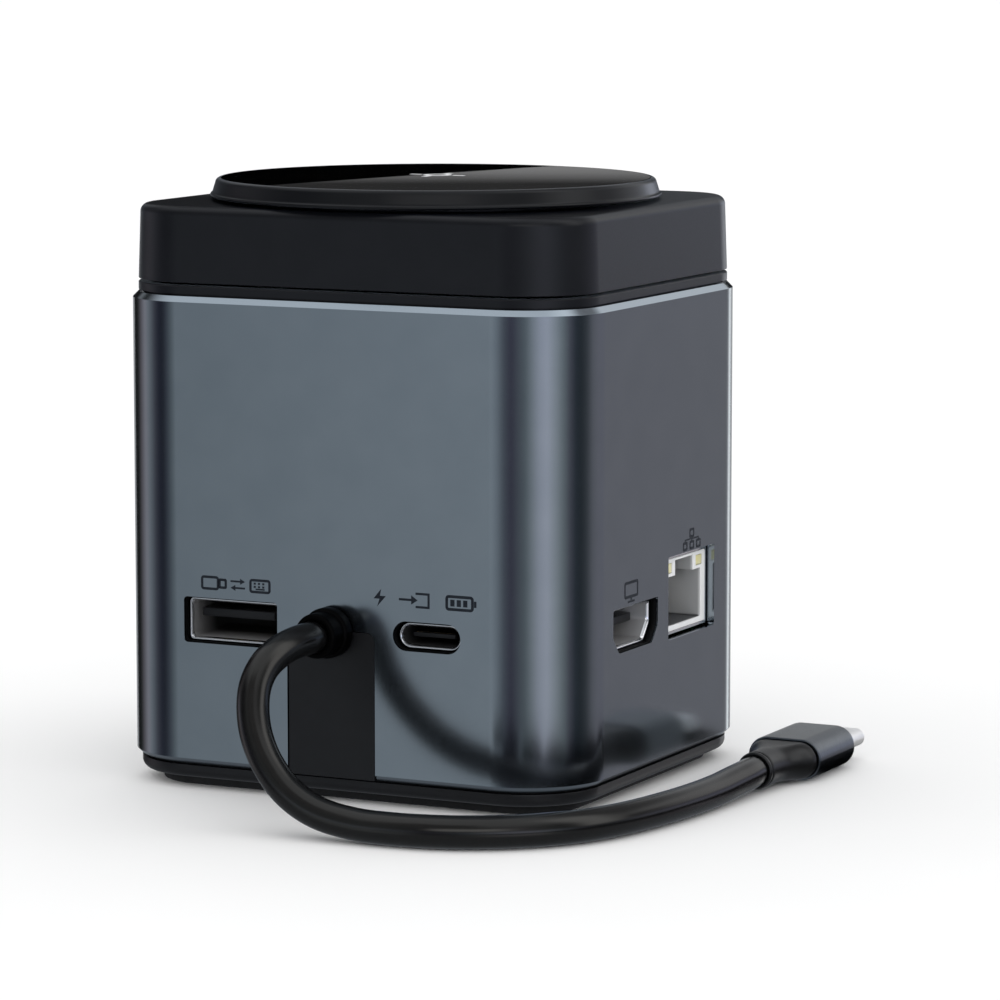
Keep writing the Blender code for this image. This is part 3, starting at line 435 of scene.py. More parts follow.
def make_materials():
    made = {name: surface(name, *finish) for name, finish in FINISHES.items()}
    made.update({name: shaded_shell_metal(name, *tones) for name, tones in SHADED_SHELL_INSIDES.items()})
    made["anodised_aluminium"] = anodised_aluminium()
    made["cap_plastic"] = cap_plastic()
    made["jack_plastic"] = jack_plastic()
    made["copper"] = wound_copper()
    made["circuit_board"] = circuit_board()
    return made


# ---------------------------------------------------------------- mesh helpers
def as_object(name, mesh_data, matrix=None):
    """Turn a bmesh into a smooth-shaded object whose mesh lies in the row frame."""
    bmesh.ops.recalc_face_normals(mesh_data, faces=mesh_data.faces)
    mesh = bpy.data.meshes.new(name)
    mesh_data.to_mesh(mesh)
    mesh_data.free()
    if matrix is not None:
        mesh.transform(matrix)
    mesh.shade_smooth()
    made = bpy.data.objects.new(name, mesh)
    bpy.context.scene.collection.objects.link(made)
    return made


def rounded_rectangle(width, depth, radius, steps):
    points = []
    for corner, (sign_x, sign_y) in enumerate(((1, 1), (-1, 1), (-1, -1), (1, -1))):
        centre = Vector((sign_x * (width / 2 - radius), sign_y * (depth / 2 - radius)))
        for step in range(steps + 1):
            angle = math.pi / 2 * (corner + step / steps)
            points.append(centre + radius * Vector((math.cos(angle), math.sin(angle))))
    return points


def plan(inset, z):
    """The body's plan outline, set in from the sleeve's outer face, at height z."""
    outline = rounded_rectangle(BODY_WIDTH - 2 * inset, BODY_DEPTH - 2 * inset,
                                CORNER_RADIUS - inset, PLAN_STEPS)
    return [Vector((point.x, point.y, z)) for point in outline]


def at_depth(outline, z):
    """A flat outline moved to depth z, where 0 is the face and minus is inwards."""
    return [Vector((point[0], point[1], z)) for point in outline]


def bridge(mesh_data, rings):
    """Join each ring of vertices to the next with a band of faces."""
    for lower, upper in zip(rings, rings[1:]):
        count = len(lower)
        for index in range(count):
            after = (index + 1) % count
            mesh_data.faces.new((lower[index], lower[after], upper[after], upper[index]))


def loft(name, loops, closed_ring=False, matrix=None):
    """A skin over the loops, closed by caps or, if closed_ring, by joining last to first."""
    mesh_data = bmesh.new()
    rings = [[mesh_data.verts.new(point) for point in loop] for loop in loops]
    if closed_ring:
        bridge(mesh_data, rings + rings[:1])
    else:
        bridge(mesh_data, rings)
        mesh_data.faces.new(rings[0])
        mesh_data.faces.new(rings[-1])
    return as_object(name, mesh_data, matrix)


def turned(name, profile, steps=ROUND_STEPS, closed=False, matrix=None):
    """A profile of (radius, z) points turned round the Z axis."""
    mesh_data = bmesh.new()
    verts = [mesh_data.verts.new((radius, 0.0, z)) for radius, z in profile]
    edges = [mesh_data.edges.new(pair) for pair in zip(verts, verts[1:])]
    if closed:
        edges.append(mesh_data.edges.new((verts[-1], verts[0])))
    bmesh.ops.spin(mesh_data, geom=verts + edges, cent=(0, 0, 0), axis=(0, 0, 1),
                   angle=2 * math.pi, steps=steps)
    bmesh.ops.remove_doubles(mesh_data, verts=mesh_data.verts, dist=1e-7)
    return as_object(name, mesh_data, matrix)


def add_box(mesh_data, low, high):
    low, high = Vector(low), Vector(high)
    bmesh.ops.create_cube(mesh_data, size=1.0, matrix=Matrix.Translation((high + low) / 2)
                          @ Matrix.Diagonal((*(high - low), 1.0)))


def block(name, low, high, matrix=None, round_edge=0.0):
    mesh_data = bmesh.new()
    add_box(mesh_data, low, high)
    if round_edge:
        bmesh.ops.bevel(mesh_data, geom=mesh_data.edges[:], offset=round_edge, segments=3,
                        profile=0.5, affect='EDGES')
    return as_object(name, mesh_data, matrix)


def mm_block(name, corners, matrix, round_edge=0.0, shift=0.0):
    """A block between two corners in millimetres, moved by shift along X."""
    low, high = [Vector((x + shift, y, z)) * MM for x, y, z in corners]
    return block(name, low, high, matrix, round_edge * MM)


def cylinder(name, radius, start, end, steps=48):
    """A capped cylinder between two points."""
    mesh_data = bmesh.new()
    along = Vector(end) - Vector(start)
    turn = along.to_track_quat('Z', 'Y').to_matrix().to_4x4()
    middle = (Vector(start) + Vector(end)) / 2
    bmesh.ops.create_cone(mesh_data, cap_ends=True, segments=steps, radius1=radius,
                          radius2=radius, depth=along.length,
                          matrix=Matrix.Translation(middle) @ turn)
    return as_object(name, mesh_data)


def settle(piece):
    """Replace a piece's mesh by what its modifiers make of it."""
    bpy.context.view_layer.update()
    graph = bpy.context.evaluated_depsgraph_get()
    shape = bpy.data.meshes.new_from_object(piece.evaluated_get(graph))
    old = piece.data
    piece.modifiers.clear()
    piece.data = shape
    bpy.data.meshes.remove(old)


def carve(piece, *tools):
    """Cut the tools out of a piece, in their order, and remove them."""
    for tool in tools:
        modifier = piece.modifiers.new(tool.name, 'BOOLEAN')
        modifier.operation = 'DIFFERENCE'
        modifier.object = tool
        modifier.solver = 'EXACT'
    settle(piece)
    for tool in tools:
        mesh = tool.data
        bpy.data.objects.remove(tool, do_unlink=True)
        bpy.data.meshes.remove(mesh)


def soften(piece, width, angle=25.0):
    """Round the sharp edges and keep the flats flat."""
    bevel = piece.modifiers.new("edges", 'BEVEL')
    bevel.width = width
    bevel.segments = 2
    bevel.limit_method = 'ANGLE'
    bevel.angle_limit = math.radians(angle)
    bevel.use_clamp_overlap = True
    normals = piece.modifiers.new("normals", 'WEIGHTED_NORMAL')
    normals.weight = 50
    settle(piece)


def dress(piece, slot, body="dock", replaced=(), material=None):
    """Give a piece its material, picked by its slot's name unless another is named, its body, and
    hide the CAD nodes it stands for.
    """
    piece.data.materials.clear()
    piece.data.materials.append(MATERIALS[material or slot])
    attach(piece, body)
    if replaced:
        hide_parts(*replaced)
    return piece


def face_matrix(face, along, height):
    """Local +X along the face, +Y up, +Z outwards."""
    if face == "cable":
        return (Matrix.Translation((along, -BODY_DEPTH / 2, height))
                @ Matrix.Rotation(math.pi / 2, 4, 'X'))
    return (Matrix.Translation((BODY_WIDTH / 2, along, height))
            @ Matrix.Rotation(math.pi / 2, 4, 'Z') @ Matrix.Rotation(math.pi / 2, 4, 'X'))


# ---------------------------------------------------------------- socket outlines
def usb_a_outline(width, height):
    return rounded_rectangle(width, height, 0.55 * MM, 6)


def usb_c_outline(width, height):
    return rounded_rectangle(width, height, height / 2 * 0.999, 14)


def hdmi_outline(width, height):
    half, up = width / 2, height / 2
    slant_x, slant_y, nick = 2.0 * MM, 2.4 * MM, 0.45 * MM
    corners = [(half, up), (-half, up), (-half, -up + slant_y), (-half + slant_x, -up),
               (half - slant_x, -up), (half, -up + slant_y)]
    return rounded_polygon(corners, nick, 4)


def rounded_polygon(corners, radius, steps):
    """A polygon whose corners are cut by short curves."""
    points = []
    count = len(corners)
    for index in range(count):
        before = Vector(corners[index - 1])
        here = Vector(corners[index])
        after = Vector(corners[(index + 1) % count])
        start = here + (before - here).normalized() * radius
        end = here + (after - here).normalized() * radius
        for step in range(steps + 1):
            part = step / steps
            points.append((1 - part) ** 2 * start + 2 * part * (1 - part) * here + part ** 2 * end)
    return points


def rj45_outline(width, height):
    return rounded_rectangle(width, height, 0.35 * MM, 4)


# Each socket's name, face, place along it, height, outline and the cut-out's size.
SOCKETS = (
    ("usb_a", "cable", USB_A_X, SOCKET_Z, usb_a_outline, (15.2 * MM, 6.6 * MM)),
    ("usb_c", "cable", USB_C_X, SOCKET_Z, usb_c_outline, (10.6 * MM, 4.2 * MM)),
    ("hdmi", "side", HDMI_Y, SOCKET_Z, hdmi_outline, (15.2 * MM, 6.4 * MM)),
    ("rj45", "side", RJ45_Y, RJ45_Z, rj45_outline, (16.4 * MM, 12.1 * MM)),
)


# ---------------------------------------------------------------- body
def rounded_edge(inset, z, radius, rise, steps):
    """Plans round a quarter circle, from the flat at height z out to the side."""
    loops = []
    for step in range(steps + 1):
        angle = math.pi / 2 * step / steps
        loops.append(plan(inset + radius * (1 - math.sin(angle)),
                          z + rise * radius * (1 - math.cos(angle))))
    return loops


def screw_rooms(radius, low, high):
    """One cutter at each of the four corner screws."""
    return [cylinder("screw_room", radius, (x, y, low), (x, y, high))
            for x in (-BOSS_X, BOSS_X) for y in (-BOSS_Y, BOSS_Y)]


def gland_hole():
    """The cutter for the round hole at the slot's top."""
    face_y = BODY_DEPTH / 2
    return cylinder("gland_hole", GLAND_HOLE, (0, -face_y - CUT_REACH, GLAND_Z),
                    (0, -face_y + CUT_REACH, GLAND_Z), 64)


def foot_pad():
    edge = 0.25 * MM
    loops = [plan(FOOT_INSET + edge, 0.0), plan(FOOT_INSET + edge * 0.3, edge * 0.3),
             plan(FOOT_INSET, edge), plan(FOOT_INSET, FOOT_HEIGHT)]
    pad = loft("rubber_foot", loops)
    soften(pad, 0.04 * MM)
    dress(pad, "rubber_foot", replaced=["foot_pad"])


def base_plate():
    loops = rounded_edge(BASE_INSET, BASE_BOTTOM, BASE_ROUND, 1, 8)
    loops += [plan(BASE_INSET, SEAM - GAP), plan(PLUG_INSET, SEAM - GAP),
              plan(PLUG_INSET, BASE_TOP), plan(TRAY_INSET, BASE_TOP), plan(TRAY_INSET, BASE_FLOOR)]
    base = loft("base_tray", loops)
    for head, shank in zip(screw_rooms(HEAD_ROOM, 0.0, HEAD_ROOM),
                           screw_rooms(SHANK_ROOM, 0.0, BASE_TOP)):
        carve(base, head, shank)
    soften(base, 0.1 * MM)
    dress(base, "black_plastic", replaced=["base_plate"])


def slot_outline(half, top):
    """The cable slot, open at the bottom and rounded at the top."""
    corner = SLOT_CORNER - (SLOT_HALF - half)
    steps = 8
    below = -2 * MM
    points = [(-half, below), (half, below)]
    for side, first in ((1, 0.0), (-1, math.pi / 2)):
        for step in range(steps + 1):
            angle = first + math.pi / 2 * step / steps
            points.append((side * (half - corner) + corner * math.cos(angle),
                           top - corner + corner * math.sin(angle)))
    return points


def aluminium_sleeve():
    loops = [plan(CHAMFER, SEAM), plan(0.0, SEAM + CHAMFER),
             plan(0.0, SLEEVE_TOP - CHAMFER), plan(CHAMFER, SLEEVE_TOP),
             plan(WALL, SLEEVE_TOP), plan(WALL, SEAM)]
    sleeve = loft("extruded_sleeve", loops, closed_ring=True)
    cutters = [(outline(*size), face_matrix(face, along, height))
               for _, face, along, height, outline, size in SOCKETS]
    cutters.append((slot_outline(SLOT_HALF, GLAND_Z + GAP), face_matrix("cable", 0.0, 0.0)))
    tools = [loft("cutter", [at_depth(shape, -CUT_REACH), at_depth(shape, CUT_REACH)],
                  matrix=matrix) for shape, matrix in cutters]
    carve(sleeve, *tools, gland_hole())
    soften(sleeve, 0.15 * MM)
    dress(sleeve, "anodised_aluminium", replaced=["aluminium_sleeve"])


def slot_cover():
    """The strip that fills the slot: it ends at the seam and sits just below the face."""
    clearance, recess = 0.12 * MM, 0.1 * MM
    outline = slot_outline(SLOT_HALF - clearance, GLAND_Z + GAP - clearance)
    outline = [(x, max(y, SEAM)) for x, y in outline]
    strip = loft("slot_strip", [at_depth(outline, -WALL), at_depth(outline, -recess)],
                 matrix=face_matrix("cable", 0.0, 0.0))
    carve(strip, gland_hole())
    soften(strip, 0.1 * MM)
    dress(strip, "black_plastic", replaced=["slot_cover"])


def top_frame():
    edge = 0.15 * MM
    loops = [plan(PLUG_INSET, FLANGE_FOOT), plan(PLUG_INSET, SLEEVE_TOP + GAP),
             plan(RING_INSET, SLEEVE_TOP + GAP), plan(RING_INSET, RING_TOP - edge),
             plan(RING_INSET + edge, RING_TOP), plan(RIM_INSET, RING_TOP),
             plan(RIM_INSET, FLANGE_TOP), plan(FLANGE_INSET, FLANGE_TOP),
             plan(FLANGE_INSET, FLANGE_FOOT)]
    ring = loft("frame_ring", loops, closed_ring=True)
    carve(ring, *screw_rooms(SHANK_ROOM, FLANGE_FOOT - CUT_REACH, FLANGE_TOP + CUT_REACH))
    soften(ring, 0.08 * MM)
    dress(ring, "cap_plastic", replaced=["top_frame"])


def top_cap():
    loops = rounded_edge(CAP_TOP_INSET, CAP_TOP, CAP_ROUND, -1, 10)
    loops += [plan(CAP_FOOT_INSET, CAP_BOTTOM), plan(CAP_INNER_INSET, CAP_BOTTOM),
              plan(CAP_INNER_INSET + 0.25 * MM, DECK_UNDERSIDE)]
    cap = loft("moulded_cap", loops)
    opening = cylinder("opening", WELL_RADIUS, (0, 0, DECK_UNDERSIDE - CUT_REACH),
                       (0, 0, CAP_TOP + CUT_REACH), ROUND_STEPS)
    notch = block("notch", (-NOTCH_HALF, NOTCH_Y, WELL_FLOOR + 0.1 * MM),
                  (NOTCH_HALF, BODY_DEPTH / 2 + CUT_REACH, CAP_TOP + CUT_REACH))
    carve(cap, opening, notch)
    soften(cap, 0.12 * MM, angle=28.0)
    dress(cap, "cap_plastic", replaced=["top_cap"])


# ---------------------------------------------------------------- charging pad
def arc(centre_r, centre_z, radius, start, end, steps):
    """Points of (radius, z) on an arc, angles in degrees from outwards to up."""
    points = []
    for step in range(steps + 1):
        angle = math.radians(start + (end - start) * step / steps)
        points.append((centre_r + radius * math.cos(angle), centre_z + radius * math.sin(angle)))
    return points


def pad_rim():
    """A tapered ring with a thin lip at its foot and a shelf for the glass."""
    lip, shoulder = 0.28 * MM, 0.75 * MM
    shelf = PAD_TOP - GLASS_THICKNESS - GAP
    glass_edge = GLASS_RADIUS + 0.05 * MM
    side_top = PAD_RADIUS - 0.72 * MM
    profile = [(RIM_INNER, PAD_BOTTOM), (PAD_RADIUS - lip, PAD_BOTTOM)]
    profile += arc(PAD_RADIUS - lip, PAD_BOTTOM + lip, lip, -80, 70, 8)
    profile += [(PAD_RADIUS - 0.30 * MM, PAD_BOTTOM + 0.62 * MM),
                (PAD_RADIUS - 0.36 * MM, PAD_BOTTOM + 0.85 * MM)]
    profile += arc(side_top - shoulder, PAD_TOP - 0.04 * MM - shoulder, shoulder, 8, 88, 9)
    profile += [(glass_edge, PAD_TOP - 0.03 * MM), (glass_edge, shelf), (RIM_INNER, shelf)]
    rim = turned("tapered_rim", profile, closed=True)
    soften(rim, 0.03 * MM, angle=50.0)
    dress(rim, "pad_plastic", "pad", ["pad_rim"])


def pad_glass():
    edge = 0.12 * MM
    top = GLASS_TOP
    bottom = PAD_TOP - GLASS_THICKNESS
    profile = [(0, bottom), (GLASS_RADIUS, bottom), (GLASS_RADIUS, top - edge),
               (GLASS_RADIUS - edge * 0.3, top - edge * 0.3), (GLASS_RADIUS - edge, top),
               (0, top)]
    glass = turned("cover_glass", profile)
    soften(glass, 0.01 * MM, angle=60.0)
    dress(glass, "black_glass", "pad", ["pad_glass"])


# ---------------------------------------------------------------- sockets
SHELL_FLARE_DEPTH = 1.5 * MM
SHELL_FLOOR = 1.0 * MM


def cup(name, place, outline, size, wall, length, inside):
    """An open-mouthed drawn shell whose lip flares and rolls over, closed at the back."""
    width, tall = size
    flare = LIP_FLARE
    mouth, back = -MOUTH_DEPTH, -MOUTH_DEPTH - length
    hollow = (width - 2 * wall, tall - 2 * wall)
    steps = 8
    loops = [at_depth(outline(width, tall), back),
             at_depth(outline(width, tall), mouth - SHELL_FLARE_DEPTH),
             at_depth(outline(width + flare, tall + flare), mouth - wall)]
    for step in range(1, steps):
        angle = math.pi * step / steps
        less = wall * (1 - math.cos(angle)) - flare
        loops.append(at_depth(outline(width - less, tall - less),
                              mouth - wall / 2 + wall / 2 * math.sin(angle)))
    loops += [at_depth(outline(*hollow), mouth - wall),
              at_depth(outline(*hollow), back + SHELL_FLOOR)]
    made = loft(f"{name}_drawn_shell", loops, matrix=face_matrix(*place))
    dress(made, "bright_steel", replaced=[f"{name}_shell"])
    # Faces behind the lip take the shaded copy of the steel, as painted shade.
    paint_shade_inside(made, place[0], mouth - wall, inside)


def paint_shade_inside(piece, face, depth, inside):
    """Give the faces more than a hundredth of a millimetre behind the lip the darker metal, as
    painted shade inside the shell.
    """
    piece.data.materials.append(MATERIALS[inside])
    for polygon in piece.data.polygons:
        centre = polygon.center
        if face == "cable":
            below = -BODY_DEPTH / 2 - centre.y
        else:
            below = centre.x - BODY_WIDTH / 2
        if below < depth - 0.01 * MM:
            polygon.material_index = 1


def socket_liners():
    """The thin black collars that line three cut-outs in front of their shells; their near-black,
    dull finish is painted shade in the gap round each shell.
    """
    front, bevel, back = -0.3 * MM, -0.34 * MM, -MOUTH_DEPTH - 0.5 * MM
    for name, face, along, height, outline, (width, tall) in SOCKETS[:3]:
        outer = outline(width - 0.1 * MM, tall - 0.1 * MM)
        inner = outline(width - 0.26 * MM, tall - 0.26 * MM)
        made = loft(f"{name}_liner", [at_depth(outer, back), at_depth(outer, front),
                                      at_depth(inner, bevel), at_depth(inner, back)],
                    closed_ring=True, matrix=face_matrix(face, along, height))
        dress(made, "black_plastic", material="liner_black")


def contact_row(name, count, pitch, width, low, high, matrix):
    """A row of gold strips in one piece, between two corners in (y, z), in millimetres."""
    mesh_data = bmesh.new()
    for index in range(count):
        x = (index - (count - 1) / 2) * pitch
        add_box(mesh_data, Vector((x - width / 2, *low)) * MM, Vector((x + width / 2, *high)) * MM)
    made = as_object(name, mesh_data, matrix)
    soften(made, 0.015 * MM)
    dress(made, "copper", material="contact_gold")


# Sockets with a tongue, in millimetres with x along the face, y up and z outwards.
# Shell: width, height, sheet, length and the metal inside, a darker copy that is painted shade.
# Tongue: two corners and the radius of its edges. Contacts: count, pitch, width and two
# corners in (y, z).
TONGUED = {
    "usb_a": ((14.5, 5.9, 0.4, 12.0, "shaded_grey_inside"),
              ((-5.9, 0.3, -11.8), (5.9, 1.5, -2.35), 0.12),
              (4, 2.3, 1.0, (0.2, -9.0), (0.32, -3.1))),
    "usb_c": ((9.5, 3.35, 0.38, 8.5, "shaded_dark_inside"),
              ((-3.3, -0.33, -8.3), (3.3, 0.33, -2.4), 0.1),
              (12, 0.5, 0.25, (0.31, -5.5), (0.35, -2.9))),
    "hdmi": ((14.3, 5.7, 0.4, 11.0, "shaded_silver_inside"),
             ((-5.6, -0.2, -10.8), (5.6, 1.0, -3.4), 0.15),
             (10, 1.0, 0.45, (-0.25, -8.0), (-0.18, -3.8))),
}


def tongued_sockets():
    for name, face, along, height, outline, _ in SOCKETS[:3]:
        (width, tall, sheet, length, inside), (low, high, edge), contacts = TONGUED[name]
        place = (face, along, height)
        where = face_matrix(*place)
        cup(name, place, outline, (width * MM, tall * MM), sheet * MM, length * MM, inside)
        tongue = mm_block(f"{name}_moulded_tongue", (low, high), where, edge)
        dress(tongue, "black_plastic", replaced=[f"{name}_tongue"])
        contact_row(f"{name}_contacts", *contacts, where)


# The network jack in millimetres, with x along the face, y up and z outwards from the face.
RJ45_SHIELD = (15.8, 11.4)
RJ45_SHEET = 0.35
RJ45_BACK = -15.2
RJ45_CAVITY = ((-5.9, -4.5, -12.2), (5.9, 2.7, 2.0))
RJ45_LATCH = ((-3.1, 2.6, -12.2), (3.1, 4.9, 2.0))
LAMP_X = 5.35
LAMP_POCKET = ((-1.12, 3.18, -4.2), (1.12, 4.72, 2.0))
LAMP_PIPE = ((-1.05, 3.25, -3.9), (1.05, 4.65, -1.25))
SPRING_LINE = ((-4.1, -12.0), (-3.6, -11.7), (-2.0, -10.1), (-1.85, -9.4), (-2.2, -8.6),
               (-4.1, -7.0))
SPRING_COUNT = 8
SPRING_PITCH = 1.02
SPRING_HALF = 0.22
SPRING_THICK = 0.3


def rj45_shield(where, outer, inner):
    mouth, back = -MOUTH_DEPTH, RJ45_BACK * MM
    shield = loft("rj45_pressed_shield",
                  [at_depth(inner, back), at_depth(outer, back), at_depth(outer, mouth),
                   at_depth(inner, mouth)], closed_ring=True, matrix=where)
    soften(shield, 0.05 * MM)
    dress(shield, "bright_steel", replaced=["rj45_shield"])


def rj45_insert(where, outline):
    insert = loft("rj45_moulded_insert", [at_depth(outline, (RJ45_BACK + 0.4) * MM),
                                          at_depth(outline, -MOUTH_DEPTH - 0.02 * MM)],
                  matrix=where)
    carve(insert, mm_block("cavity", RJ45_CAVITY, where), mm_block("latch", RJ45_LATCH, where),
          mm_block("pocket", LAMP_POCKET, where, shift=-LAMP_X),
          mm_block("pocket", LAMP_POCKET, where, shift=LAMP_X))
    soften(insert, 0.08 * MM)
    dress(insert, "jack_plastic", replaced=["rj45_housing"])


def rj45_socket():
    where = face_matrix("side", RJ45_Y, RJ45_Z)
    width, tall = [side * MM for side in RJ45_SHIELD]
    inner = [side - 2 * RJ45_SHEET * MM for side in (width, tall)]
    rj45_shield(where, rj45_outline(width, tall), rj45_outline(*inner))
    rj45_insert(where, rj45_outline(*[side - 0.1 * MM for side in inner]))
    for side, label in ((-1, "left"), (1, "right")):
        lamp = mm_block(f"rj45_light_pipe_{label}", LAMP_PIPE, where, 0.12, side * LAMP_X)
        dress(lamp, "lamp", replaced=[f"rj45_lamp_{label}"])
    rj45_springs(where)


def rj45_springs(where):
    """Eight gold springs that rise from the cavity's floor towards its back."""
    mesh_data = bmesh.new()
    for index in range(SPRING_COUNT):
        x = (index - (SPRING_COUNT - 1) / 2) * SPRING_PITCH
        left, right = x - SPRING_HALF, x + SPRING_HALF
        rings = []
        for y, z in SPRING_LINE:
            below = y - SPRING_THICK
            rings.append([mesh_data.verts.new(Vector(point) * MM) for point in (
                (left, below, z), (right, below, z), (right, y, z), (left, y, z))])
        bridge(mesh_data, rings)
        mesh_data.faces.new(rings[0])
        mesh_data.faces.new(rings[-1])
    springs = as_object("rj45_spring_contacts", mesh_data, where)
    soften(springs, 0.03 * MM)
    dress(springs, "copper", replaced=["rj45_contacts"], material="contact_gold")


# ---------------------------------------------------------------- printed pictograms
def outline_strip(points, width):
    """A closed line of even width, as its outer and inner loops."""
    count = len(points)
    outer, inner = [], []
    for index in range(count):
        before = Vector(points[index - 1])
        here = Vector(points[index])
        after = Vector(points[(index + 1) % count])
        first = (here - before).normalized()
        second = (after - here).normalized()
        normal = (Vector((first.y, -first.x)) + Vector((second.y, -second.x))).normalized()
        reach = width / 2 / max(normal.dot(Vector((first.y, -first.x))), 0.3)
        outer.append(here + normal * reach)
        inner.append(here - normal * reach)
    return outer, inner


class Print:
    """Collects flat shapes and turns them into one thin printed layer."""

    def __init__(self):
        self.mesh_data = bmesh.new()
        self.thickness = 0.015 * MM

    def solid(self, points):
        low, high = [[self.mesh_data.verts.new((x * MM, y * MM, z)) for x, y in points]
                     for z in (0.0, self.thickness)]
        self.mesh_data.faces.new(list(reversed(low)))
        self.mesh_data.faces.new(high)
        bridge(self.mesh_data, [low, high])

    def ring(self, points, width):
        outer, inner = outline_strip(points, width)
        loops = []
        for loop, z in ((outer, 0.0), (outer, self.thickness), (inner, self.thickness),
                        (inner, 0.0)):
            loops.append([self.mesh_data.verts.new((p[0] * MM, p[1] * MM, z)) for p in loop])
        bridge(self.mesh_data, loops + loops[:1])

    def bar(self, x0, y0, x1, y1):
        self.solid([(x0, y0), (x1, y0), (x1, y1), (x0, y1)])

    def finish(self, name, matrix, body="dock", slot="black_plastic", material="print_ink",
               size=1.12):
        made = as_object(name, self.mesh_data, matrix @ Matrix.Scale(size, 4))
        made.data.shade_flat()
        return dress(made, slot, body, material=material)


# Width of the pictograms' lines, in millimetres.
LINE = 0.33


def frame_points(x0, y0, x1, y1, radius=0.25):
    centre = Vector(((x0 + x1) / 2, (y0 + y1) / 2))
    return [(point[0] + centre.x, point[1] + centre.y)
            for point in rounded_rectangle(x1 - x0, y1 - y0, radius, 4)]


def data_pictograms():
    """A memory stick, two arrows and a screen corner: things to plug in."""
    ink = Print()
    ink.ring(frame_points(-4.9, -0.75, -2.6, 0.75), LINE)
    ink.ring(frame_points(-2.35, -0.5, -1.45, 0.5, 0.1), LINE)
    for y, way in ((0.42, 1), (-0.42, -1)):
        ink.bar(-0.75 if way > 0 else -0.05, y - 0.12, 0.65 if way > 0 else 1.35, y + 0.12)
        tip = 1.35 if way > 0 else -0.75
        ink.solid([(tip, y), (tip - way * 0.7, y + 0.38), (tip - way * 0.7, y - 0.38)][::way])
    ink.ring(frame_points(2.15, -0.75, 4.9, 0.75), LINE)
    for column in range(3):
        for row in range(2):
            x, y = 2.75 + column * 0.62, -0.1 + row * 0.42
            ink.bar(x - 0.13, y - 0.13, x + 0.17, y + 0.13)
    ink.bar(2.9, -0.5, 4.2, -0.3)
    ink.finish("data_pictograms", face_matrix("cable", -15.3 * MM, 30.3 * MM))


def power_pictograms():
    """A bolt, an arrow into a frame and a battery: power goes in here."""
    ink = Print()
    ink.solid([(-5.55, 1.0), (-6.5, -0.12), (-5.75, -0.12), (-6.05, -1.0), (-4.95, 0.22),
               (-5.7, 0.22)])
    ink.bar(-3.3, -0.13, -1.75, 0.13)
    ink.solid([(-0.95, 0.0), (-1.75, 0.52), (-1.75, -0.52)])
    ink.solid([(-1.2, 0.62), (0.3, 0.62), (0.3, -0.62), (-1.2, -0.62), (-1.2, -0.88),
               (0.56, -0.88), (0.56, 0.88), (-1.2, 0.88)][::-1])
    ink.ring(frame_points(2.7, -0.72, 5.9, 0.72), LINE)
    ink.bar(6.1, -0.35, 6.4, 0.35)
    for index in range(3):
        x = 3.15 + index * 0.8
        ink.bar(x, -0.38, x + 0.52, 0.38)
    ink.finish("power_pictograms", face_matrix("cable", 15.0 * MM, 30.0 * MM), size=1.25)


def display_pictograms():
    """A screen on its stand."""
    ink = Print()
    ink.ring(frame_points(-1.9, -0.55, 1.9, 1.25, 0.2), LINE + 0.04)
    ink.bar(-0.2, -1.02, 0.2, -0.72)
    ink.bar(-1.0, -1.3, 1.0, -1.06)
    ink.finish("display_pictograms", face_matrix("side", -12.0 * MM, 29.9 * MM))


def network_pictograms():
    """One box joined to three others."""
    ink = Print()
    ink.ring(frame_points(-0.6, 0.35, 0.6, 1.25, 0.1), LINE)
    for x in (-2.1, 0.0, 2.1):
        ink.ring(frame_points(x - 0.55, -1.2, x + 0.55, -0.35, 0.1), LINE)
    ink.solid([(-2.22, -0.2), (-1.98, -0.2), (-1.98, -0.06), (-0.12, -0.06), (-0.12, -0.2),
               (0.12, -0.2), (0.12, -0.06), (1.98, -0.06), (1.98, -0.2), (2.22, -0.2),
               (2.22, 0.14), (0.12, 0.14), (0.12, 0.2), (-0.12, 0.2), (-0.12, 0.14),
               (-2.22, 0.14)])
    ink.finish("network_pictograms", face_matrix("side", RJ45_Y, 34.85 * MM))


MARK_PLACE = (-1.5 * MM, 3.4 * MM, GLASS_TOP + 0.002 * MM)
MARK_RING = 1.7
MARK_LINE = 0.8
MARK_TICK = (2.6, 4.4)


def alignment_mark():
    """A plain ring with four ticks that shows where the phone's coil goes."""
    ink = Print()
    steps = 64
    turns = [2 * math.pi * step / steps for step in range(steps)]
    ink.ring([(MARK_RING * math.cos(turn), MARK_RING * math.sin(turn)) for turn in turns],
             MARK_LINE)
    half = MARK_LINE / 2
    near, far = MARK_TICK
    ink.bar(-half, near, half, far)
    ink.bar(-half, -far, half, -near)
    ink.bar(near, -half, far, half)
    ink.bar(-far, -half, -near, half)
    ink.finish("alignment_mark", Matrix.Translation(MARK_PLACE), "pad", "pad_plastic",
               "mark_ink", 1.0)


# ---------------------------------------------------------------- captive cable
# The gland's profile in millimetres: radius, and distance out from the cable face.
GLAND_PROFILE = ((0, -3.3), (4.2, -3.3), (4.2, -1.7), (3.1, -1.7), (3.1, 0.12), (3.55, 0.12),
                 (3.6, 0.2), (3.6, 1.65), (3.52, 1.85), (3.3, 1.98), (3.2, 2.1), (3.2, 4.5),
                 (3.12, 4.8), (2.85, 4.98), (2.6, 5.0), (2.36, 4.85), (2.36, 4.0), (0, 4.0))


def cable_gland():
    profile = [(radius * MM, BODY_DEPTH / 2 + out * MM) for radius, out in GLAND_PROFILE]
    where = Matrix.Translation((0, 0, GLAND_Z)) @ Matrix.Rotation(math.pi / 2, 4, 'X')
    gland = turned("stepped_gland", profile, 72, matrix=where)
    soften(gland, 0.05 * MM, angle=35.0)
    return dress(gland, "cable_jacket", replaced=["cable_gland"], material="gland_rubber")


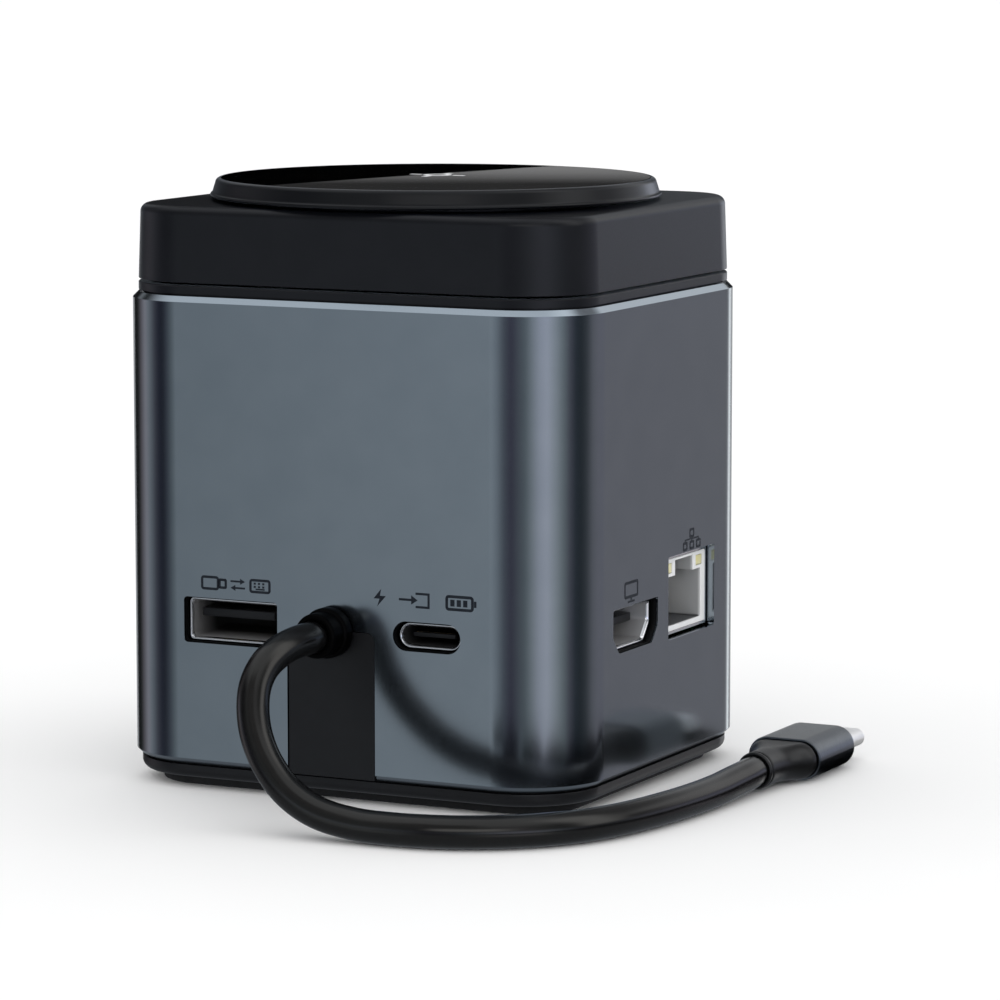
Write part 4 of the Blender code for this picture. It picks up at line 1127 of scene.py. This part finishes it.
def smooth_route(route, pieces):
    """Points along a smooth curve through the route, this many to each leg."""
    points = []
    count = len(route)
    for index in range(count - 1):
        before, after = route[max(index - 1, 0)], route[min(index + 2, count - 1)]
        start, end = route[index], route[index + 1]
        handle = (end - start).length / 3
        lead = start + (end - before).normalized() * handle
        trail = end - (after - start).normalized() * handle
        points += geometry.interpolate_bezier(start, lead, trail, end, pieces + 1)[:-1]
    return points + [route[-1]]


def host_cable():
    points = smooth_route(CORD_ROUTE, 6)
    curve = bpy.data.curves.new("jacketed_cable", 'CURVE')
    curve.dimensions = '3D'
    curve.bevel_depth = CORD_RADIUS - CORD_CLEARANCE
    curve.bevel_resolution = 8
    curve.use_fill_caps = True
    spline = curve.splines.new('POLY')
    spline.points.add(len(points) - 1)
    for target, point in zip(spline.points, points):
        target.co = (*point, 1.0)
    spline.use_smooth = True
    cable = bpy.data.objects.new("jacketed_cable", curve)
    bpy.context.scene.collection.objects.link(cable)
    return dress(cable, "cable_jacket", replaced=["host_cable"])


def plug_section(width, height, y):
    """A flat oval across the plug, at y along it."""
    radius = min(width, height) / 2 * 0.999
    return [Vector((PLUG_X + point.x, y, PLUG_Z + point.y))
            for point in rounded_rectangle(width, height, radius, 12)]


def hermite(before, first, second, after, column, share):
    """Cubic curve from row first to row second, sloped by their neighbours."""
    span = second[0] - first[0]
    slope_in = (second[column] - before[column]) / (second[0] - before[0]) * span
    slope_out = (after[column] - first[column]) / (after[0] - first[0]) * span
    squared, cubed = share ** 2, share ** 3
    return ((2 * cubed - 3 * squared + 1) * first[column] + (cubed - 2 * squared + share) * slope_in
            + (3 * squared - 2 * cubed) * second[column] + (cubed - squared) * slope_out)


def blend_table(table, part):
    """Read a table of (part, value, value) with a smooth curve through its rows."""
    for index in range(len(table) - 1):
        first, second = table[index], table[index + 1]
        if part <= second[0]:
            before, after = table[max(index - 1, 0)], table[min(index + 2, len(table) - 1)]
            share = (part - first[0]) / (second[0] - first[0])
            return [hermite(before, first, second, after, column, share) for column in (1, 2)]
    return list(table[-1][1:])


# The boot's collar in millimetres: width, and distance from its start.
COLLAR = ((4.9, 0.05), (5.2, 0.1), (5.42, 0.3), (5.44, 0.62), (5.3, 0.74), (5.02, 0.78),
          (5.02, 0.98), (5.4, 1.04))
# Its neck and flare: part of the way to the housing, width and height in millimetres.
FLARE = ((0.0, 5.5, 5.46), (0.28, 5.55, 5.4), (0.5, 6.1, 5.2), (0.7, 7.9, 5.15),
         (0.88, 10.1, 5.3), (0.97, 10.6, 5.4), (1.0, 10.5, 5.35))


def plug_overmould():
    """The soft boot: a collar round the cord, a neck and a flare to the housing."""
    start, end = PLUG_START + 1.2 * MM, HOUSING_START - 0.3 * MM
    bore = 2 * CORD_RADIUS + 0.1 * MM
    loops = [plug_section(bore, bore, start), plug_section(bore, bore, PLUG_START + 0.2 * MM)]
    loops += [plug_section(size * MM, size * MM, PLUG_START + y * MM) for size, y in COLLAR]
    steps = 30
    for step in range(steps + 1):
        part = step / steps
        width, height = blend_table(FLARE, part)
        loops.append(plug_section(width * MM, height * MM, start + part * (end - start)))
    boot = loft("flared_boot", loops)
    soften(boot, 0.05 * MM, angle=50.0)
    return dress(boot, "cable_jacket", replaced=["plug_overmould"], material="boot_rubber")


# The housing's rounded end in millimetres: distance back from it, and how much narrower and
# lower the housing is there.
NOSE = ((1.25, 0.0, 0.0), (0.9, 0.12, 0.06), (0.6, 0.34, 0.2), (0.35, 0.7, 0.42),
        (0.14, 1.2, 0.8), (0.0, 1.8, 1.3))


def plug_housing():
    """The grey metal grip, whose far end is rounded."""
    width, height = 11.4 * MM, 6.0 * MM
    edge = 0.22 * MM
    loops = [plug_section(width - 4 * edge, height - 4 * edge, HOUSING_START + 0.15 * MM),
             plug_section(width - 3 * edge, height - 3 * edge, HOUSING_START),
             plug_section(width - 1.2 * edge, height - 1.2 * edge, HOUSING_START),
             plug_section(width - 0.4 * edge, height - 0.4 * edge, HOUSING_START + edge * 0.3),
             plug_section(width, height, HOUSING_START + edge)]
    for back, less_wide, less_high in NOSE:
        loops.append(plug_section(width - less_wide * MM, height - less_high * MM,
                                  HOUSING_END - back * MM))
    housing = loft("anodised_housing", loops)
    soften(housing, 0.05 * MM, angle=35.0)
    return dress(housing, "plug_metal", replaced=["plug_housing"])


def plug_tip():
    """The bright shroud, hollow from its open end."""
    start, end = HOUSING_END + 0.1 * MM, TIP_END
    width, height, sheet, edge = 8.3 * MM, 2.6 * MM, 0.3 * MM, 0.15 * MM
    hollow = (width - 2 * sheet - edge, height - 2 * sheet - edge)
    loops = [plug_section(width, height, start),
             plug_section(width, height, end - edge),
             plug_section(width - 0.6 * edge, height - 0.6 * edge, end - 0.3 * edge),
             plug_section(width - 2 * edge, height - 2 * edge, end),
             plug_section(*hollow, end),
             plug_section(*hollow, start + 0.8 * MM)]
    tip = loft("drawn_tip", loops)
    soften(tip, 0.03 * MM, angle=50.0)
    return dress(tip, "bright_steel", replaced=["plug_tip"], material="tip_steel")


def captive_cable():
    """The cable with its gland, boot, housing and tip."""
    gland = cable_gland()
    cable = host_cable()
    boot = plug_overmould()
    housing = plug_housing()
    tip = plug_tip()


# ---------------------------------------------------------------- CAD nodes that stay
def dress_cad_nodes():
    """Each CAD node that still shows takes the finish of its record slot."""
    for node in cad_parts.values():
        for slot in node.material_slots:
            wanted = slot.material.name.split(".")[0]
            if wanted in MATERIALS:
                slot.material = MATERIALS[wanted]


# ---------------------------------------------------------------- studio
# Radiance round the horizon, by azimuth in degrees from -Y towards +X.
RING = (
    (-120, (0.020, 0.020, 0.020)), (-113, (0.012, 0.015, 0.014)), (-106, (0.077, 0.073, 0.077)),
    (-100, (0.206, 0.178, 0.192)), (-94, (0.339, 0.316, 0.345)), (-88, (0.521, 0.481, 0.519)),
    (-80, (0.373, 0.397, 0.428)), (-66, (0.112, 0.111, 0.136)), (-58, (0.039, 0.041, 0.062)),
    (-51, (0.037, 0.040, 0.054)), (-44, (0.107, 0.119, 0.146)), (-37, (0.229, 0.260, 0.277)),
    (-24, (0.526, 0.567, 0.603)), (-14, (0.362, 0.399, 0.435)), (-5, (0.165, 0.180, 0.210)),
    (5, (0.091, 0.083, 0.119)), (24, (0.222, 0.255, 0.267)), (33, (0.456, 0.486, 0.506)),
    (43, (0.720, 0.718, 0.789)), (53, (0.834, 0.828, 0.906)), (64, (0.608, 0.629, 0.654)),
    (75, (0.338, 0.375, 0.383)), (85, (0.154, 0.150, 0.181)), (94, (0.051, 0.063, 0.076)),
    (103, (0.044, 0.052, 0.059)), (113, (0.093, 0.103, 0.112)), (124, (0.255, 0.250, 0.271)),
    (136, (0.317, 0.302, 0.335)), (150, (0.288, 0.279, 0.318)), (160, (0.295, 0.284, 0.289)),
    (165, (0.300, 0.300, 0.320)), (172, (1.700, 1.700, 1.700)),
)
PALE_LIGHT = 1.15
DOME_RADIUS = 8.0


# A region is a set of edges. Each edge names the direction's x, y, z or azimuth, the value
# where the region still counts for nothing, the value where it counts in full, and whether
# the step between them is smooth.
def across(axis, low, high, blur):
    """The two edges, soft by blur each way, of a region from low to high along an axis."""
    return ((axis, low - blur, low + blur, True), (axis, high + blur, high - blur, True))


AT_HORIZON = (("z", -0.06, 0.0, True), ("z", 0.25, 0.06, True))
TO_THE_RIGHT = (("x", -0.05, 0.15, False),)
LEFT_LIFT = (1.20, 1.25, 1.40)
RIGHT_LIFT = (1.70, 1.85, 2.20)

REAR_LOW = (0.26, 0.27, 0.29)
REAR_LOW_EDGES = (("azimuth", -128, -145, False), ("z", -0.02, -0.06, False))
BLACK = (0.0, 0.0, 0.0)
DUSK_SHARE = 0.55
DUSK_EDGES = (("z", 0.04, 0.22, False),)

CEILING_LEFT = (0.72, 0.75, 0.79)
CEILING_RIGHT = (0.70, 0.73, 0.77)
CEILING_TURN = (("x", -0.35, 0.0, False),)
CEILING_EDGES = (("z", 0.5, 0.88, True),)

# Regions laid over all that, each over the ones before it: radiance and edges.
REAR_SKY = (0.70, 0.72, 0.75)
REAR_HIGH = (0.22, 0.22, 0.23)
SOFT_BOXES = (
    # below the floor
    ((0.08, 0.08, 0.084), (("z", -0.25, -0.5, True),)),
    # sky behind the object
    (REAR_SKY, (("y", 0.35, 0.7, False), ("z", 0.32, 0.40, False), ("z", 0.8, 0.6, False))),
    (REAR_HIGH, (("y", 0.3, 0.5, False), ("z", 0.5, 0.62, False))),
    # gap between the ceiling and the box in front
    (REAR_HIGH, across("azimuth", -28, 32, 6) + across("z", 0.56, 0.85, 0.05)),
    # box in front, for the cable's first bend
    ((1.5, 1.52, 1.55), across("azimuth", 2, 46, 6) + across("z", 0.26, 0.50, 0.05)),
    # box behind on the right, for the cable's run to the plug
    ((0.86, 0.87, 0.89), (("x", 0.06, 0.2, False), ("y", 0.6, 0.8, False))
     + across("z", 0.18, 0.5, 0.04)),
    # box on the right, for the tops of the cable and the plug
    ((1.35, 1.37, 1.40), (("x", 0.25, 0.5, False), ("y", -0.1, 0.08, False),
                          ("y", 0.5, 0.32, False), ("z", 0.05, 0.22, False))),
)
FLOOR_GLOW = (0.20, 0.215, 0.235)
FLOOR_GLOW_EDGES = (("z", -0.19, -0.30, True),)


def studio_world():
    """Even pale light from all round for whatever isn't a reflection."""
    world = bpy.data.worlds.new("studio")
    bpy.context.scene.world = world
    world.use_nodes = True
    background = world.node_tree.nodes["Background"]
    background.inputs["Color"].default_value = (1.0, 1.0, 1.0, 1.0)
    background.inputs["Strength"].default_value = PALE_LIGHT


def only_in_reflections(thing):
    thing.visible_camera = False
    thing.visible_diffuse = False
    thing.visible_transmission = False
    thing.visible_volume_scatter = False
    thing.visible_shadow = False


def glow_material(name, light):
    """An emitting material, whose colour is plain or is built by light(nodes)."""
    material = bpy.data.materials.new(name)
    material.use_nodes = True
    material.node_tree.nodes.clear()
    nodes = Nodes(material.node_tree)
    glow = nodes.add("Emission")
    nodes.feed(glow, "Color", light(nodes) if callable(light) else light)
    output = nodes.add("OutputMaterial")
    nodes.link(glow.outputs["Emission"], output.inputs["Surface"])
    material.cycles.emission_sampling = 'NONE'
    return material


def dome_axes(nodes):
    """The direction from the row frame's origin, and its azimuth from -Y towards +X."""
    unit = nodes.add("VectorMath", operation="NORMALIZE")
    nodes.link(nodes.place(), unit.inputs[0])
    direction = nodes.add("SeparateXYZ")
    nodes.link(unit.outputs[0], direction.inputs[0])
    x, y, z = direction.outputs
    azimuth = nodes.math("ARCTAN2", x, nodes.math("MULTIPLY", y, -1.0))
    return {"x": x, "y": y, "z": z, "azimuth": azimuth}


def region(nodes, axes, edges, share=1.0):
    """How far a direction lies inside all the edges, from 0 to share."""
    mask = None
    for axis, out, full, smooth in edges:
        if axis == "azimuth":
            out, full = math.radians(out), math.radians(full)
        step = nodes.fade(axes[axis], out, full, 0.0, share, smooth=smooth)
        mask = step if mask is None else nodes.math("MULTIPLY", mask, step)
        share = 1.0
    return mask


def dome_light(nodes):
    """Soft boxes and dark gaps round the horizon, and a pale ceiling."""
    axes = dome_axes(nodes)
    turn = nodes.fade(axes["azimuth"], -math.pi, math.pi)
    ring = nodes.ramp(turn, [((degrees + 180) / 360, glow) for degrees, glow in RING])
    lift = nodes.mix(region(nodes, axes, TO_THE_RIGHT), LEFT_LIFT, RIGHT_LIFT)
    lift = nodes.mix(region(nodes, axes, AT_HORIZON), (1.0, 1.0, 1.0), lift)
    light = nodes.mix(1.0, ring, lift, "MULTIPLY")
    light = nodes.mix(region(nodes, axes, REAR_LOW_EDGES), light, REAR_LOW)
    light = nodes.mix(region(nodes, axes, DUSK_EDGES, DUSK_SHARE), light, BLACK)
    ceiling = nodes.mix(region(nodes, axes, CEILING_TURN), CEILING_LEFT, CEILING_RIGHT)
    light = nodes.mix(region(nodes, axes, CEILING_EDGES), light, ceiling)
    for glow, edges in SOFT_BOXES:
        light = nodes.mix(region(nodes, axes, edges), light, glow)
    return nodes.mix(region(nodes, axes, FLOOR_GLOW_EDGES), light, FLOOR_GLOW, "LIGHTEN")


def studio_dome():
    mesh_data = bmesh.new()
    bmesh.ops.create_uvsphere(mesh_data, u_segments=48, v_segments=24, radius=DOME_RADIUS)
    dome = as_object("studio_dome", mesh_data)
    dome.data.materials.append(glow_material("dome_glow", dome_light))
    only_in_reflections(dome)


# Radiance up the lit card that the pad's glass reflects, by height in millimetres.
CARD_GLOW = ((156.0, 0.235), (159.5, 0.196), (161.5, 0.154), (163.5, 0.118), (165.5, 0.068),
             (168.0, 0.030))
# The cards' corners, as millimetres to the right and up.
CARD_LIT = ((-125.8, 175.0), (55.5, 150.0), (220.0, 150.0), (220.0, 175.0))
CARD_DARK = ((-220.0, 175.0), (-220.0, 150.0), (55.5, 150.0), (-125.8, 175.0))
CARD_DISTANCE = 1.2
NIGHT = (0.0004, 0.0004, 0.0004, 1.0)
VIEW_AZIMUTH = math.radians(26.208)
TO_RIGHT = Vector((math.cos(VIEW_AZIMUTH), math.sin(VIEW_AZIMUTH), 0.0))
TO_BACK = Vector((-math.sin(VIEW_AZIMUTH), math.cos(VIEW_AZIMUTH), 0.0))
UP = Vector((0.0, 0.0, 1.0))

REAR_CARD = ((-0.40, 0.25, -0.08), (0.045, 0.25, -0.08), (0.045, 0.25, 0.078),
             (-0.40, 0.25, 0.078))
REAR_CARD_FOOT = (0.46, 0.47, 0.48)
REAR_CARD_HEAD = (0.56, 0.57, 0.58)


def card_light(nodes):
    low, high = CARD_GLOW[0][0] * MM, CARD_GLOW[-1][0] * MM
    return nodes.ramp(nodes.fade(coordinate(nodes, "Z"), low, high),
                      [((height * MM - low) / (high - low), (glow, glow, glow * 1.01))
                       for height, glow in CARD_GLOW])


def rear_light(nodes):
    return nodes.mix(nodes.fade(coordinate(nodes, "Z"), 0.0, 0.07), REAR_CARD_FOOT,
                     REAR_CARD_HEAD)


def card(name, corners, light):
    mesh_data = bmesh.new()
    mesh_data.faces.new([mesh_data.verts.new(corner) for corner in corners])
    made = as_object(name, mesh_data)
    made.data.materials.append(glow_material(name, light))
    only_in_reflections(made)


def studio_cards():
    """A lit card and a black one far behind, which lie across the glass as a soft sweep.

    A third, grey card stands closer behind and lower, for the tops of the low pieces.
    """
    for name, outline, light in (("lit_card", CARD_LIT, card_light),
                                 ("black_card", CARD_DARK, NIGHT)):
        card(name, [TO_BACK * CARD_DISTANCE + TO_RIGHT * across_mm * MM + UP * up_mm * MM
                    for across_mm, up_mm in outline], light)
    card("rear_card", REAR_CARD, rear_light)


# Dark spots at floor level, as x, y and radius in millimetres.
FLAG_SPOTS = ((12, -97, 13), (33, -90, 16), (59, -74, 19), (74, -49, 21), (76, -24, 23),
              (74, 1, 22), (65, 25, 19), (57, 38, 13))
FLAG_DEPTH = 0.3
FLAG_STEP = 0.02


def flag_cloth():
    """Black in the middle of a unit disc and clear at its rim."""
    material = glow_material("flag_cloth", NIGHT)
    nodes = Nodes(material.node_tree)
    length = nodes.add("VectorMath", operation="LENGTH")
    nodes.link(nodes.place(), length.inputs[0])
    mixer = nodes.add("MixShader")
    nodes.link(nodes.fade(length.outputs["Value"], 0.6, 1.0, smooth=True), mixer.inputs[0])
    output = material.node_tree.nodes["Material Output"]
    nodes.link(output.inputs["Surface"].links[0].from_socket, mixer.inputs[1])
    nodes.link(nodes.add("BsdfTransparent").outputs[0], mixer.inputs[2])
    nodes.link(mixer.outputs[0], output.inputs["Surface"])
    return material


def floor_flags():
    """Soft dark spots at floor level, reflected low on the body's near corner."""
    cloth = flag_cloth()
    for index, (x, y, radius) in enumerate(FLAG_SPOTS):
        mesh_data = bmesh.new()
        bmesh.ops.create_circle(mesh_data, cap_ends=True, segments=32, radius=1.0)
        flag = as_object(f"floor_flag_{index}", mesh_data)
        flag.location = (x * MM, y * MM, -(FLAG_DEPTH + FLAG_STEP * index) * MM)
        flag.scale = (radius * MM, radius * MM, 1.0)
        flag.data.materials.append(cloth)
        only_in_reflections(flag)


def studio_floor():
    mesh_data = bmesh.new()
    bmesh.ops.create_grid(mesh_data, x_segments=1, y_segments=1, size=6.0)
    floor = as_object("studio_floor", mesh_data)
    paint = surface("floor_paint", (0.94, 0.94, 0.94), (0.96, 0.96, 0.96), (0.85, 0.95), 0.0,
                    3.0, 40.0)
    floor.data.materials.append(paint)
    floor.visible_glossy = False


VIEW_ELEVATION = math.radians(7.505)
VIEW_DISTANCE = 0.69328
AIM_HEIGHT = 0.03945
AIM_RIGHT = 0.009312
LENS = 169.85
SENSOR = 36.0


def studio_camera():
    forward = TO_BACK * math.cos(VIEW_ELEVATION) - UP * math.sin(VIEW_ELEVATION)
    aim = UP * AIM_HEIGHT + TO_RIGHT * AIM_RIGHT
    data = bpy.data.cameras.new("camera")
    data.lens = LENS
    data.sensor_width = SENSOR
    data.clip_start, data.clip_end = 0.05, 20.0
    camera = bpy.data.objects.new("camera", data)
    bpy.context.scene.collection.objects.link(camera)
    camera.location = aim - forward * VIEW_DISTANCE
    camera.rotation_mode = 'QUATERNION'
    camera.rotation_quaternion = forward.to_track_quat('-Z', 'Y')
    bpy.context.scene.camera = camera


def plain_view():
    """Colours as they are lit, with no filmic curve."""
    view = bpy.context.scene.view_settings
    view.view_transform = 'Standard'
    view.look = 'None'
    view.exposure = 0.0
    view.gamma = 1.0


MATERIALS = make_materials()
dress_cad_nodes()
foot_pad()
base_plate()
aluminium_sleeve()
slot_cover()
top_frame()
top_cap()
pad_rim()
pad_glass()
socket_liners()
tongued_sockets()
rj45_socket()
data_pictograms()
power_pictograms()
display_pictograms()
network_pictograms()
alignment_mark()
captive_cable()
studio_world()
studio_dome()
studio_cards()
floor_flags()
studio_floor()
studio_camera()
plain_view()
